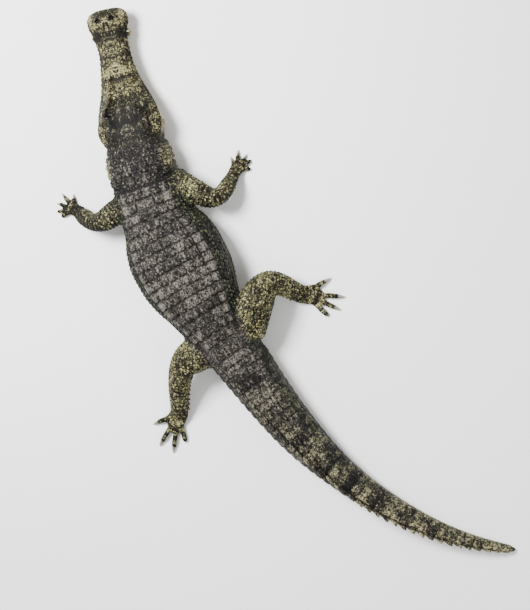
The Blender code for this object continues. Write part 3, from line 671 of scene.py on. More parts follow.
def region_marks(points):
    """How far each place belongs to the back, belly, legs, snout and tail's end, and its tone, which also
    carries some painted shade.
    """
    s, around, body_gap = body_coordinates(points)
    _, out = spine_coordinates(points)
    leg_gap, leg_share = leg_distance(points)
    side, shield = np.abs(out), along(SHIELD, s)
    top = ease(np.abs(around), shield + 0.06, shield - 0.06) * (s > HEAD_END)
    under = ease(np.abs(around), 1.95, 2.30) * ease(s, HEAD_END - 0.05, HEAD_END + 0.02)
    under *= 1 - 0.85 * ease(s, 2.5, 3.0)
    jaw = ease(points[:, 2] - along(LIPS, s), 0.004, -0.008) * ease(s, HEAD_END + 0.01, HEAD_END - 0.05)
    limb = ease(body_gap, 0.000, 0.035) * (leg_gap < 0.25) * (s > HEAD_END + 0.05)
    crown = between(s, 0.54, 0.62, HEAD_END - 0.03, HEAD_END + 0.03) * ease(side, 0.150, 0.110)
    jowl = 0.75 * spot(s, side, 0.960, 0.200, 0.070, 0.035)
    snout = ease(s, HEAD_END + 0.03, HEAD_END - 0.03) * (1 - 0.85 * crown)
    tone = np.full(len(s), 0.5)
    for *where, amount in BLOTCHES:
        tone += amount * spot(s, side, *where) * (points[:, 2] > 0.1)
    tone -= 0.15 * between(s, 0.56, 0.66, 1.06, 1.16) * ease(side, 0.20, 0.13)
    tone -= (0.09 + 0.13 * ease(s, 0.45, 0.65)) * snout * (1 - jaw)
    # Painted shade: the left front leg is darkened further than the right, where the key lamp lights it more;
    # the rest of this darkening is the legs' own darker colour.
    tone -= (0.04 + (0.08 + 0.08 * (out > 0)) * ease(s, 1.7, 1.5) + 0.07 * ease(leg_share, 0.88, 1.0)) * limb
    tone -= 0.10 * ease(side - along(HEAD_HALF_WIDTH, s), -0.030, -0.004) * ease(s, 0.62, 0.52) * (1 - jaw)
    return {
        "on_back": np.maximum(top, crown * 0.9), "on_belly": np.maximum(under, jaw), "on_leg": limb,
        "on_snout": np.maximum(snout, jowl), "on_tail": ease(s, TRUNK_END, 4.0), "tone_and_painted_light": tone,
    }


def lie_on_body(points):
    """Each place as its station, its distance out on either side alike, and its height."""
    s, out = spine_coordinates(points)
    return np.stack([s, np.abs(out), points[:, 2]], 1)


def mark(mesh, values):
    """Writes one number, or one vector, for each point of the mesh under each name."""
    for name, numbers in values.items():
        numbers = np.ascontiguousarray(numbers, dtype=np.float32)
        kind, field = ("FLOAT_VECTOR", "vector") if numbers.ndim == 2 else ("FLOAT", "value")
        mesh.attributes.new(name, kind, "POINT").data.foreach_set(field, numbers.ravel())


def new_group(name, inputs, outputs):
    group = bpy.data.node_groups.new(name, "ShaderNodeTree")
    for label, kind, value in inputs:
        socket = group.interface.new_socket(label, in_out="INPUT", socket_type=f"NodeSocket{kind}")
        socket.default_value = value
    for label, kind in outputs:
        group.interface.new_socket(label, in_out="OUTPUT", socket_type=f"NodeSocket{kind}")
    return group, group.nodes.new("NodeGroupInput").outputs, group.nodes.new("NodeGroupOutput")


def feed(tree, made, inputs):
    """Sets each input of a node, or links it where the value comes from another node."""
    for key, value in inputs.items():
        if isinstance(value, bpy.types.NodeSocket):
            tree.links.new(value, made.inputs[key])
        else:
            made.inputs[key].default_value = value


def node(tree, kind, inputs=None, **settings):
    made = tree.nodes.new(f"ShaderNode{kind}")
    for key, value in settings.items():
        setattr(made, key, value)
    feed(tree, made, inputs or {})
    return made


def maths(tree, operation, first, *rest):
    """The sum, product or other result of the values, taken one after another."""
    for value in rest or (0.0,):
        first = node(tree, "Math", {0: first, 1: value}, operation=operation).outputs[0]
    return first


def blend_colours(tree, share, a, b):
    return node(tree, "Mix", {0: share, 6: a, 7: b}, data_type="RGBA").outputs[2]


def number_at(tree, name):
    return node(tree, "Attribute", attribute_name=name).outputs["Fac"]


def noise_at(tree, where, scale, detail, roughness=0.5):
    inputs = {"Vector": where, "Scale": scale, "Detail": detail, "Roughness": roughness}
    return node(tree, "TexNoise", inputs).outputs[0]


def spread(tree, value, low, high, to_low=0.0, to_high=1.0):
    return node(tree, "MapRange", {0: value, 1: low, 2: high, 3: to_low, 4: to_high}, clamp=True).outputs[0]


def new_finish(name):
    made = bpy.data.materials.new(name)
    made.use_nodes = True
    return made, made.node_tree, made.node_tree.nodes["Principled BSDF"]


tree, hue, give = new_group(
    "colour by region", [(region, "Color", (0.5, 0.5, 0.5, 1)) for region in PIGMENT], [("Color", "Color")])
region_group, on_tail = tree, number_at(tree, "on_tail")
back = blend_colours(tree, on_tail, hue["Back"], hue["Tail"])
colour = blend_colours(tree, number_at(tree, "on_back"), hue["Flank"], back)
colour = blend_colours(tree, maths(tree, "MULTIPLY", on_tail, 0.5), colour, hue["Tail"])
for region in ("Snout", "Leg", "Belly"):
    colour = blend_colours(tree, number_at(tree, f"on_{region.lower()}"), colour, hue[region])
feed(tree, give, {"Color": colour})

# The Groove input is how much colour is kept in the painted shade of the grooves.
tree, given, give = new_group(
    "hide markings and painted shade",
    [("Contrast", "Float", 1.0), ("Groove", "Float", 0.35), ("Grit", "Float", 0.9)],
    [("Color", "Color"), ("Specks", "Float"), ("Height", "Float")])
markings_and_shade_group = tree
where = node(tree, "Attribute", attribute_name="lie").outputs["Vector"]
patches, blotches = noise_at(tree, where, 9.0, 2.0), noise_at(tree, where, 50.0, 3.0, 0.65)
specks, grit = noise_at(tree, where, 112.0, 3.0, 0.65), noise_at(tree, where, 92.0, 1.5)
weighed = [maths(tree, "MULTIPLY", *pair) for pair in ((patches, 0.38), (blotches, 0.76), (specks, 1.16))]
mixed = maths(tree, "MULTIPLY", maths(tree, "ADD", *weighed, -1.15), given["Contrast"])
mixed = maths(tree, "ADD", mixed, number_at(tree, "tone_and_painted_light"))
dark, middle, light = (
    node(tree, "Group", {r: (*PIGMENT[r][level], 1) for r in PIGMENT}, node_tree=region_group).outputs[0]
    for level in range(3))
colour = blend_colours(tree, spread(tree, mixed, 0.28, 0.5), dark, middle)
colour = blend_colours(tree, spread(tree, mixed, 0.53, 0.74), colour, light)
gritty = maths(tree, "MULTIPLY", spread(tree, grit, 0.38, 0.44, 1.0, 0.0), given["Grit"])
colour = blend_colours(tree, gritty, colour, dark)
# Painted shade: the colour turns towards the dark pigment in the grooves between scales, towards each scale's
# edge, in the cracks of the head's skin and on the hide under the scales.
painted_groove_shade = blend_colours(tree, given["Groove"], dark, colour)
colour = blend_colours(tree, spread(tree, number_at(tree, "relief"), 0.0, 0.7), painted_groove_shade, colour)
cracks = node(tree, "TexVoronoi", {"Vector": where, "Scale": 95.0}, feature="DISTANCE_TO_EDGE").outputs[0]
grain, cracked_skin = noise_at(tree, where, 420.0, 2.0), spread(tree, cracks, 0.0, 0.12)
folds = ((cracked_skin, 0.55), (grain, 0.30), (specks, 0.5))
height = maths(tree, "ADD", *(maths(tree, "MULTIPLY", *pair) for pair in folds))
feed(tree, give, {"Color": colour, "Specks": mixed, "Height": height})


def hide_material(name, contrast, groove, rough, worn, bump, depth, grit=0.92):
    """Keratin over skin: rougher where its markings are dark and a little glossy where they are pale."""
    made, tree, shader = new_finish(name)
    inputs = {"Contrast": contrast, "Groove": groove, "Grit": grit}
    marks = node(tree, "Group", inputs, node_tree=markings_and_shade_group).outputs
    bumps = node(tree, "Bump", {"Strength": bump, "Distance": depth, "Height": marks["Height"]})
    feed(tree, shader, {
        "Base Color": marks["Color"], "Specular IOR Level": 0.13, "Normal": bumps.outputs[0],
        "Roughness": spread(tree, marks["Specks"], 0.2, 0.9, rough + worn, rough - worn)})
    return made


def wrap(angles, reference):
    """Angles moved by whole turns to lie nearest the reference."""
    return angles + 2 * np.pi * np.round((reference - angles) / (2 * np.pi))


def bake_map(mesh, u, v):
    """The piece's own unwrap, one place for each face corner, fitted to the unit square."""
    flat = np.stack([u, v], 1)
    low, high = flat.min(0), flat.max(0)
    flat = 0.005 + 0.99 * (flat - low) / (high - low)
    mesh.uv_layers.new(name="OFBake").data.foreach_set("uv", flat.ravel().astype(np.float32))


# The body is unrolled round its spine, and the legs lie beside it, seen from above and from below.
# The head takes a larger share of the unwrap than its length, for its finer marks.
places = read(hide.data.vertices, "co", 3)
s, around, _ = body_coordinates(places)
marks = dict(region_marks(places), lie=lie_on_body(places))
# Painted shade: the hide under the scales and the cracks of the head's skin are marked to be darkened, as
# shade in the gaps.
bare = ease(s, HEAD_END + 0.04, HEAD_END - 0.03)
mark(hide.data, dict(marks, relief=np.maximum(bare * (1 - 0.8 * cracked), 0.15)))
hide.data.materials.clear()
hide.data.materials.append(hide_material("hide_skin", 1.65, 0.5, 0.58, 0.08, 0.8, 0.0016))
corner = read(hide.data.loops, "vertex_index", kind=int)
sizes = read(hide.data.polygons, "loop_total", kind=int)
face = np.repeat(np.arange(len(sizes)), sizes)


def face_mean(values):
    return (np.bincount(face, values[corner]) / sizes)[face]


turn = np.arctan2(spine_coordinates(places)[1], (places[:, 2] - along(LIPS, s)) * 1.3)
turn = np.where(s < HEAD_END, turn, around)[corner]
turn = wrap(turn, turn[(np.cumsum(sizes) - sizes)[face]])
under = face_mean(read(hide.data.vertex_normals, "vector", 3)[:, 2]) < 0
u = np.where(s < HEAD_END, s * 1.8, HEAD_END * 0.8 + s)[corner] / 5.1
v = 0.5 + turn / (2 * np.pi) * 0.96
x, y = (places - np.array(solid_box[0]))[corner, :2].T
on_leg = face_mean(marks["on_leg"] * (s > HEAD_END + 0.05)) > 0.5
u, v = np.where(on_leg, x / 6.0 + 0.5 * under, u), np.where(on_leg, 1.06 + y / 5.0, v)
bake_map(hide.data, u, v)
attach(hide, "root")
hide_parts(*[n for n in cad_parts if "claw" not in n and "eye" not in n])

# ==================================================================== scales
# Every scale is a solid plate of keratin, over bone on the back and tail. It grows from the hide, so
# each is set at its own place, bent to the hide under it, and its skirt goes a little way in.
Seat = namedtuple("Seat", "place way length width rise keel square lean tone chart")
SKIRT_DEPTH, FREE_OF_LEG, LOWEST = 0.0025, 0.004, 0.0002
LONG_SHARE, WIDE_SHARE = 0.97, 0.95  # how much of its spacing a plate fills, along the body and across it


def on_hide(points):
    """The nearest place on the hide to each point, and the way straight out of it."""
    found = [hide_tree.find_nearest(p) for p in points.reshape(-1, 3).tolist()]
    return (np.array([f[k] for f in found]).reshape(points.shape) for k in (0, 1))


def normalised(v):
    return v / np.maximum(np.linalg.norm(v, axis=-1, keepdims=True), 1e-9)


def solid_piece(name, points, faces, marks, u, v, finish, mend=False):
    """A piece of the animal from its mesh, the marks that its finish reads, and its own unwrap."""
    mesh = bpy.data.meshes.new(name)
    mesh.from_pydata(points.tolist(), [], faces)
    mark(mesh, marks)
    corner = read(mesh.loops, "vertex_index", kind=int)
    bake_map(mesh, u[corner], v[corner])
    if mend:
        bm = bmesh.new()
        bm.from_mesh(mesh)
        bmesh.ops.remove_doubles(bm, verts=bm.verts, dist=1e-6)
        bmesh.ops.recalc_face_normals(bm, faces=bm.faces)
        bm.to_mesh(mesh)
        bm.free()
    mesh.shade_smooth()
    mesh.materials.append(finish)
    made = bpy.data.objects.new(name, mesh)
    bpy.context.scene.collection.objects.link(made)
    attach(made, "root")
    return made


def scale_pieces(name, seats, finish, rings=(0.0, 0.4, 0.75, 0.93, 1.0), sides=10):
    """One object of many domed, keeled scales, whose outlines run from oval to nearly square."""
    at, way, *spans, chart = (np.array(column, float) for column in zip(*seats))
    length, width, thick, keel, square, lean, tone = (span[:, None] for span in spans)
    centre, outward = on_hide(at)
    way = normalised(way - outward * (way * outward).sum(-1, keepdims=True))
    aside = np.cross(outward, way)
    turned = np.linspace(0, 2 * np.pi, sides, endpoint=False)
    level = np.array([*rings, 1.0])
    count, rows = len(centre), len(level)
    x, y = (power(wave(turned), 2 / square)[:, None] * level[1:, None] for wave in (np.cos, np.sin))
    x, y = (np.concatenate([np.zeros((count, 1)), v.reshape(count, -1)], 1) for v in (x, y))
    ring_of = np.concatenate([[0], np.repeat(np.arange(1, rows), sides)])
    share, skirt, inside = level[ring_of], ring_of == rows - 1, level[ring_of] < 1
    ridge = bell(y, 0.30) * between(x, -1.0, 0.35, 0.62, 1.05)
    rise = thick * ((1 - share**4) * 0.55 + 0.45 * inside) + keel * ridge * inside
    height = np.where(skirt, -SKIRT_DEPTH, rise)
    ahead, over = (x * length / 2)[..., None], (y * width / 2)[..., None]
    flat = centre[:, None] + way[:, None] * ahead + aside[:, None] * over
    base, local = on_hide(flat)
    local = normalised(local + outward[:, None])
    body = base + local * height[..., None] + way[:, None] * (lean * np.maximum(height, 0))[..., None]
    body[..., 2] = np.maximum(body[..., 2], LOWEST)
    first = 1 + np.arange((rows - 1) * sides).reshape(rows - 1, sides)
    after = np.roll(first, -1, axis=1)
    fan = np.stack([np.zeros(sides, int), first[0], after[0]], -1)
    quads = np.stack([first[:-1], first[1:], after[1:], after[:-1]], -1).reshape(-1, 4)
    per = 1 + first.size
    start = np.arange(count)[:, None, None] * per
    faces = (fan + start).reshape(-1, 3).tolist() + (quads + start).reshape(-1, 4).tolist()
    faces += (first[-1][::-1] + start[:, 0]).tolist()
    marks = {key: np.repeat(values, per, axis=0) for key, values in region_marks(centre).items()}
    # Painted highlight: tall keels are made paler along their ridge; the rest is each scale's own random
    # tone.
    marks["tone_and_painted_light"] += ((tone - 0.5) * 0.30 + 0.10 * ridge * (keel > 0.004)).ravel()
    edge = np.maximum(np.abs(x), 0.55 * np.abs(y)) if square.max() > 4.2 else share
    # Painted shade: each scale darkens towards its edge and its skirt, and its keel is kept clear of it.
    relief = 1 - 0.9 * np.minimum(edge, 1) ** 3 - 0.1 * (share == 1) + np.clip(keel * ridge / 0.02, 0, 0.4)
    marks.update(lie=lie_on_body(body.reshape(-1, 3)), relief=np.clip(relief, 0, 1).ravel())
    shrink = np.where(skirt, 0.46, 0.46 * 0.88)
    u, v = chart[:, :1] + x * length * shrink, chart[:, 1:] + y * width * shrink
    return solid_piece(name, body.reshape(-1, 3), faces, marks, u.ravel(), v.ravel(), finish)


def row_seats(s, angles, length, width, rise, keel, square, lean=0.0, tone=0.5, vary=0.30):
    """Seats for one row of scales across the body at station s, clear of the legs."""
    angles = np.atleast_1d(angles)
    width, keel, tone = (np.broadcast_to(value, angles.shape) for value in (width, keel, tone))
    spots, rear = body_points(s, angles), body_points(s + 0.01, angles)
    seats = []
    for k in np.flatnonzero(leg_distance(spots)[0] > FREE_OF_LEG):
        own, grow = tone[k] + chance.uniform(-vary, vary), chance.uniform(0.95, 1.03)
        chart = (s, angles[k] * along(HALF_WIDTH, s))
        seats.append(Seat(spots[k], rear[k] - spots[k], length * grow, width[k] * grow, rise, keel[k], square,
                          lean, own, chart))
    return seats


def girth(s, angles):
    """Distances between neighbouring angles, measured over the body at station s."""
    return np.linalg.norm(np.diff(body_points(s, angles), axis=0), axis=1)


def even_angles(s, start, end, pitch):
    """Angles of scales set evenly over the hide from start to end, and the width of each."""
    fine = np.linspace(start, end, 80)
    run = np.concatenate([[0], np.cumsum(girth(s, fine))])
    count = max(1, round(run[-1] / pitch))
    middles = (np.arange(count) + 0.5) * run[-1] / count
    return np.interp(middles, run, fine), run[-1] / count


# -------------------------------------------------------------------- back scutes
# Seventeen bands of bony plates cross the back from the shoulders to the hips. Each plate is a
# rounded oblong with a low keel, and the outer ones stand a little proud of the flanks.
BACK_ROWS, WIDE_BACK = 17, 0.40
SHIELD_EDGE = ((1.10, 0.80), (1.40, 0.86), (1.80, 0.88), (TRUNK_END, 0.88))
SCUTE_RINGS = (0.0, 0.2, 0.4, 0.6, 0.8, 0.93, 1.0)
scute_finish = hide_material("scute_keratin", 1.30, 0.02, 0.50, 0.10, 0.9, 0.0022, 0.55)
scale_finish = hide_material("scale_keratin", 1.75, 0.20, 0.54, 0.08, 0.7, 0.0012)
seats = []
pitch = (TRUNK_END - TRUNK_START - 0.01) / BACK_ROWS
for row in range(BACK_ROWS):
    s = TRUNK_START + 0.005 + pitch * (row + 0.5)
    edge = along(SHIELD_EDGE, s)
    span = girth(s, np.linspace(-edge, edge, 40)).sum()
    angles, width = even_angles(s, -edge, edge, span / (8 if span > WIDE_BACK else 6))
    outer = np.isin(np.arange(len(angles)), (0, len(angles) - 1))
    keel, tone = np.where(outer, 0.011, 0.008), np.where(outer, 0.80, 0.5)
    seats += row_seats(s, angles, pitch * LONG_SHARE, width * 0.98, 0.0055, keel, 4.5, 0.25, tone, 0.28)
scale_pieces("back_scutes", seats, scute_finish, SCUTE_RINGS, 20)

# -------------------------------------------------------------------- neck scutes
# The nape has a square of four large keeled plates with two smaller ones beside them, and small
# rounded scales fill the rest of the neck and the back of the jaws.
NAPE = (  # station, angle off the middle line, length and width of each pair
    (0.985, 0.1785, 0.078, 0.066), (1.055, 0.1785, 0.072, 0.070), (1.018, 0.525, 0.060, 0.048),
    (0.885, 0.336, 0.040, 0.036),
)
NECK_PITCH, JAW_PITCH = 0.021, 0.0165
seats = []
for s, turned, length, width in NAPE:
    seats += row_seats(s, [-turned, turned], length, width, 0.006, 0.012, 3.2, 0.3, 0.65, 0.28)
nape = np.array([seat.place for seat in seats])
nape_reach = np.array([max(seat.length, seat.width) * 0.52 for seat in seats])
scale_pieces("neck_scutes", seats, scute_finish, SCUTE_RINGS, 18)
seats = []
for row, s in enumerate(np.arange(HEAD_END + 0.008, TRUNK_START, NECK_PITCH)):
    grown = float(ease(s, HEAD_END - 0.02, 0.97))
    angles, width = even_angles(s, -2.1, 2.1, 0.019 + 0.006 * grown)
    angles = angles + (row % 2) * (angles[1] - angles[0]) / 2 + chance.normal(0, 0.014, len(angles))
    few = row_seats(s + chance.normal(0, 0.0015), angles, 0.0205, width * WIDE_SHARE,
                    0.0016 + 0.0018 * grown, 0.0015 * grown, 2.5)
    seats += [seat for seat in few if np.all(np.linalg.norm(nape - seat.place, axis=1) > nape_reach)]


def even_steps(path, pitch):
    """Places set evenly along a bent path."""
    run = np.concatenate([[0], np.cumsum(np.linalg.norm(np.diff(path, axis=0), axis=1))])
    at = np.arange(0.5, max(1, round(run[-1] / pitch))) * pitch
    return np.stack([np.interp(at, run, axis) for axis in path.T], 1)


for s in np.arange(0.690, HEAD_END + 0.004, JAW_PITCH):
    middle, small = place(s, 0.0, 0.0), float(ease(s, 0.68, 0.82))
    across, behind = place(s, 1.0, 0.0) - middle, place(s + 0.01, 0.0, 0.0) - middle
    for path, shelf in ((upper_head_ring(s)[2:14], 0.30), (lower_jaw_ring(s)[1:17], 0.55)):
        for edge in (1, -1):
            half = path if edge == 1 else path - 2 * ((path - middle) @ across)[:, None] * across
            for k, at in enumerate(even_steps(half, JAW_PITCH)):
                if s + 0.0025 * k < 0.735 or (abs(at[2] - along(LIPS, s)) < 0.010 and s < 0.765):
                    continue
                chart = (s, edge * (shelf + 0.012 * k))
                seats.append(Seat(at + chance.normal(0, 0.0010, 3), behind, 0.0158, 0.0150,
                                  0.0008 + 0.0011 * small, 0.0, 2.3, 0.1, chance.uniform(0.3, 0.7), chart))
scale_pieces("neck_scales", seats, scale_finish)

# -------------------------------------------------------------------- flank scales
# Soft oval scales lie in long rows down each flank, larger and lightly keeled in every third row,
# with bare skin between them that lets the flank stretch.
FLANK_PITCH, UNDERSIDE = 0.0285, 2.10
seats = []
for s in np.arange(TRUNK_START + 0.01, TRUNK_END - 0.005, FLANK_PITCH):
    start = along(SHIELD_EDGE, s) + 0.03
    for flip in (-1, 1):
        angles, width = even_angles(s, flip * start, flip * UNDERSIDE, 0.024)
        for k, angle in enumerate(angles):
            length, rise, keel = (0.0275, 0.0040, 0.0045) if k % 3 == 1 else (0.0245, 0.0028, 0.001)
            seats += row_seats(s + (k % 2) * 0.5 * FLANK_PITCH, angle, length, width * 0.92, rise, keel, 2.5)
scale_pieces("flank_scales", seats, scale_finish)

# -------------------------------------------------------------------- belly scales
# The belly is paved with smooth, nearly square plates in straight cross rows, thin and without keels.
# The throat and the chest wear the same plates.
seats = []
for s in np.arange(HEAD_END + 0.02, TRUNK_END - 0.01, 0.036):
    angles, width = even_angles(s, UNDERSIDE + 0.02, 2 * np.pi - UNDERSIDE - 0.02, 0.034)
    seats += row_seats(s, angles, 0.0345, width * WIDE_SHARE, 0.0014, 0.0, 5.0)
scale_pieces("belly_scales", seats, scale_finish, (0.0, 0.85, 1.0), 10)

# -------------------------------------------------------------------- tail scutes
# Oblong plates ring the tail in whorls. Two rows of upright fins start over the hips, close in on
# the middle line, and run on to the tip as a single row.
WHORLS, CREST_START, CREST_END, ROWS_MEET, THIN_TAIL = 36, 2.26, 4.32, 3.16, 3.9
CREST_HEIGHT = (
    (CREST_START, 0.010), (2.50, 0.016), (2.80, 0.024), (ROWS_MEET, 0.034), (3.40, 0.038),
    (3.80, 0.034), (4.10, 0.026), (CREST_END, 0.012),
)
FIN_RINGS = (0.0, 0.15, 0.3, 0.45, 0.6, 0.75, 0.9, 1.0)
seats, fins = [], []
pitch = (CREST_END - CREST_START) / WHORLS
for whorl in range(-1, WHORLS + 1):
    s = CREST_START + pitch * (whorl + 0.5)
    closing = np.clip((ROWS_MEET - s) / (ROWS_MEET - TRUNK_END), 0, 1)
    row = 0.09 + 0.62 * closing if s < ROWS_MEET else 0.0
    edge = row + 0.10 if s < ROWS_MEET else 0.16
    angles, width = even_angles(s, edge, 2 * np.pi - edge, 0.034 if s < THIN_TAIL else 0.024)
    keel = np.where(np.abs(wrap(angles, 0)) > 2.0, 0.0, 0.0030)
    seats += row_seats(s, angles, pitch * LONG_SHARE, width * WIDE_SHARE, 0.0032, keel, 4.5, 0.1)
    if s < ROWS_MEET - 0.05 and row > 0.2:
        inner, width = even_angles(s, -row + 0.09, row - 0.09, 0.040)
        seats += row_seats(s, inner, pitch * LONG_SHARE, width * WIDE_SHARE, 0.0040, 0.004, 4.5, 0.1, 0.55,
                           0.28)
    if 0 <= whorl < WHORLS:
        tall = along(CREST_HEIGHT, s)
        thick = np.interp(s, (CREST_START, 3.0, CREST_END), (0.034, 0.022, 0.008))
        at = [-row, row] if row > 0 else 0.0
        fins += row_seats(s, at, pitch * 1.02, thick, tall * 0.48, tall * 0.50, 3.0, 0.30, 0.5, 0.28)
scale_pieces("tail_scutes", seats, scute_finish, (0.0, 0.45, 0.8, 0.93, 1.0), 12)
scale_pieces("tail_crest", fins, scute_finish, FIN_RINGS, 20)

# -------------------------------------------------------------------- leg scales
# The legs wear small rounded scales in rings. They are larger and overlap a little on the outer
# side, and the rear edge of each hind leg carries a fringe of pointed ones.
LEG_START, LEG_END, LEG_PITCH = 0.04, 0.985, 0.023
seats = []
for number, (name, leg) in enumerate(LEGS.items()):
    rings = 26 if name.startswith("hind") else 22
    for ring, t in enumerate(np.linspace(LEG_START, LEG_END, rings)):
        wide = along([r[:2] for r in leg["radii"]], t)
        count = max(8, round(2 * np.pi * wide / LEG_PITCH))
        turned = (np.arange(count) + 0.5 * (ring % 2)) / count * 2 * np.pi
        spots, way = leg_ring(leg, t, turned, 0.0)
        step = np.linalg.norm(leg_point(leg, min(t + 0.02, 1)) - leg_point(leg, t - 0.02)) / 0.04
        length, width = step * (LEG_END - LEG_START) / (rings - 1), 2 * np.pi * wide / count * 0.96
        for k in np.flatnonzero((body_coordinates(spots)[2] > 0.006) & (spots[:, 2] > 0.004)):
            upper = math.sin(turned[k])
            chart = (t * 0.5 + 0.6 * (number % 2), turned[k] * 0.07 + 0.6 * (number // 2))
            seats.append(Seat(spots[k], way, length * chance.uniform(0.94, 1.02), width,
                              0.0034 if upper > -0.2 else 0.0018, 0.0016 if upper > 0 else 0.0, 2.6, 0.15,
                              chance.uniform(0.15, 0.85), chart))
scale_pieces("leg_scales", seats, scale_finish)
tailward = place(TRUNK_END + 0.1, 0, 0) - place(TRUNK_END, 0, 0)
seats = []
for number, name in enumerate(("hind_right", "hind_left")):
    for k, t in enumerate(np.linspace(0.56, 0.97, 9)):
        (front, rear), way = leg_ring(LEGS[name], t, np.array([np.pi, 0.0]), 0.0)
        if (rear - front) @ tailward < 0:
            rear = front
        seats.append(Seat(rear, way, 0.030, 0.013, 0.0060, 0.0085, 3.0, 0.55, 0.5, (k * 0.04, number * 0.1)))
scale_pieces("leg_fringe", seats, scale_finish, FIN_RINGS, 16)

# -------------------------------------------------------------------- foot scales
# Short broad scales cross the top of each toe like bands, in light and dark pairs, and finer ones
# cover the foot.
BANDS_START, BANDS_REACH = 0.18, 0.80
seats = []
for number, (name, leg) in enumerate(LEGS.items()):
    across_foot, bands = (9, 11) if name.startswith("hind") else (7, 8)
    rings, forward = palm_rings(leg, np.linspace(0.15, np.pi - 0.15, across_foot), 0.0)
    for row, ring in enumerate(rings[1:-2]):
        if row % 2:
            ring = (ring[:-1] + ring[1:]) / 2
        width = min(np.linalg.norm(ring[1] - ring[0]) * 0.95, 0.016)
        for k, at in enumerate(ring):
            if at[2] >= 0.006:
                chart = (row * 0.012 + 0.5 * number, k * 0.014)
                seats.append(Seat(at, forward, leg["palm"][0] * 0.098, width, 0.0018, 0.0, 2.4, 0.1,
                                  chance.uniform(0.15, 0.85), chart))
    for toe in range(len(leg["digits"])):
        line = digit_line(leg, toe, forward)
        way, length = flat_way(line[1]), line[2] * BANDS_REACH / bands
        across, upward = frame_across(way)
        for band in range(bands):
            centre, radius = digit_centre(leg, line, BANDS_START + BANDS_REACH * (band + 0.5) / bands)
            paler = 0.5 if band % 4 < 2 else -0.5
            for k, lean in enumerate((-0.95, 0.0, 0.95)):
                at = centre + (upward * math.cos(lean) + across * math.sin(lean)) * radius
                chart = (0.12 + band * 0.016 + 0.5 * number, 0.02 + toe * 0.075 + k * 0.024)
                seats.append(Seat(at, way, length * 0.96, radius * 0.90, 0.0015, 0.0, 3.4, 0.12,
                                  chance.uniform(0.2, 0.8) + paler, chart))
scale_pieces("foot_scales", seats, scale_finish, (0.0, 0.6, 0.9, 1.0), 8)

# ==================================================================== eyes
# A crocodile's eye is a wet globe with a gold and olive iris, and a pupil that closes to an upright
# slit. It sits high at the side of the skull, and looks out and a little up.
def wet_eye():
    made, tree, shader = new_finish("eye_gold")
    across, upward = number_at(tree, "across"), number_at(tree, "upward")
    squares = (maths(tree, "MULTIPLY", value, value) for value in (across, upward))
    off_centre = maths(tree, "SQRT", maths(tree, "ADD", *squares))
    streaks = noise_at(tree, node(tree, "TexCoord").outputs["Object"], 600.0, 3.0)
    dark_gold, pale_gold = (0.030, 0.022, 0.004, 1), (0.260, 0.185, 0.030, 1)
    gold = blend_colours(tree, spread(tree, streaks, 0.35, 0.65), dark_gold, pale_gold)
    gold = blend_colours(tree, spread(tree, off_centre, 0.38, 0.62), gold, (0.045, 0.040, 0.012, 1))
    gold = blend_colours(tree, spread(tree, off_centre, 0.62, 0.68), gold, (0.012, 0.011, 0.008, 1))
    stretched = ((across, 6.5), (upward, 1.35))
    slit = (maths(tree, "MULTIPLY", maths(tree, "ABSOLUTE", value), much) for value, much in stretched)
    open_slit = spread(tree, maths(tree, "ADD", *slit), 0.62, 0.70)
    feed(tree, shader, {
        "Base Color": blend_colours(tree, open_slit, (0.002, 0.002, 0.002, 1), gold),
        "Roughness": 0.18, "Coat Weight": 0.55, "Coat Roughness": 0.03})
    return made


eye_finish = wet_eye()
tilt, spin = np.linspace(0, np.pi, 41), np.linspace(0, 2 * np.pi, 49)
tilt, spin = (grid.ravel() for grid in np.meshgrid(tilt, spin, indexing="ij"))
fore, up = (np.sin(tilt) * wave(spin) for wave in (np.cos, np.sin))
ball = np.stack([np.cos(tilt), fore, up], -1) * (EYE_RADIUS - 0.0004)
index = np.arange(len(ball)).reshape(41, 49)
faces = np.stack([index[:-1, :-1], index[1:, :-1], index[1:, 1:], index[:-1, 1:]], -1)
iris = {"across": fore + 9 * (tilt > 1.57), "upward": up}
for word, edge in (("left", 1), ("right", -1)):
    centre, *ways = eye_frame(edge)
    eyeball = solid_piece(f"eye_ball_{word}", centre + ball @ ways, faces.reshape(-1, 4).tolist(), iris,
                          spin, tilt, eye_finish, mend=True)
    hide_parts(f"eye_{word}")

# -------------------------------------------------------------------- eyelids
# Thick folded lids hold each eye. The upper one is stiffened with bone and stands out as a brow, and
# the lower one is softer and does most of the closing.
LID_THICKNESS, LID_ROWS, LID_SIDES = 0.0042, 15, 56
OPEN_WIDE, OPEN_TALL, LID_END = 50.0, 31.0, 112  # degrees from the eye's axis
lid_finish = hide_material("lid_skin", 1.6, 0.5, 0.50, 0.06, 0.8, 0.0014)
spin = np.linspace(0, 2 * np.pi, LID_SIDES, endpoint=False)
opening = np.radians(1 / np.hypot(np.cos(spin) / OPEN_WIDE, np.sin(spin) / OPEN_TALL))
brow = np.clip(np.sin(spin), 0, 1)
opening *= 1 - 0.26 * brow**0.7
share = np.linspace(0, 1, LID_ROWS)[:, None]
tilt = opening + (np.radians(LID_END) - opening) * share
fold = 0.0012 * np.sin(share * 5 * np.pi) * ease(share, 0.1, 0.3)
radius = EYE_RADIUS - 0.0006 + (LID_THICKNESS + 0.0030 * brow) * ease(share, 0.0, 0.16) + fold
radius = radius - 0.014 * ease(share, 0.62, 1.0)
fore, up = (np.sin(tilt) * wave(spin) for wave in (np.cos, np.sin))
lid = np.stack([np.cos(tilt), fore, up], -1) * radius[..., None]
lid = np.concatenate([lid[:1] * 0.93, lid]).reshape(-1, 3)
rim = np.concatenate([np.zeros(LID_SIDES), np.repeat(ease(share[:, 0], 0.0, 0.2), LID_SIDES)])
u, v = lid[:, 1] * (1 + 3 * np.linalg.norm(lid, axis=1)), lid[:, 2]
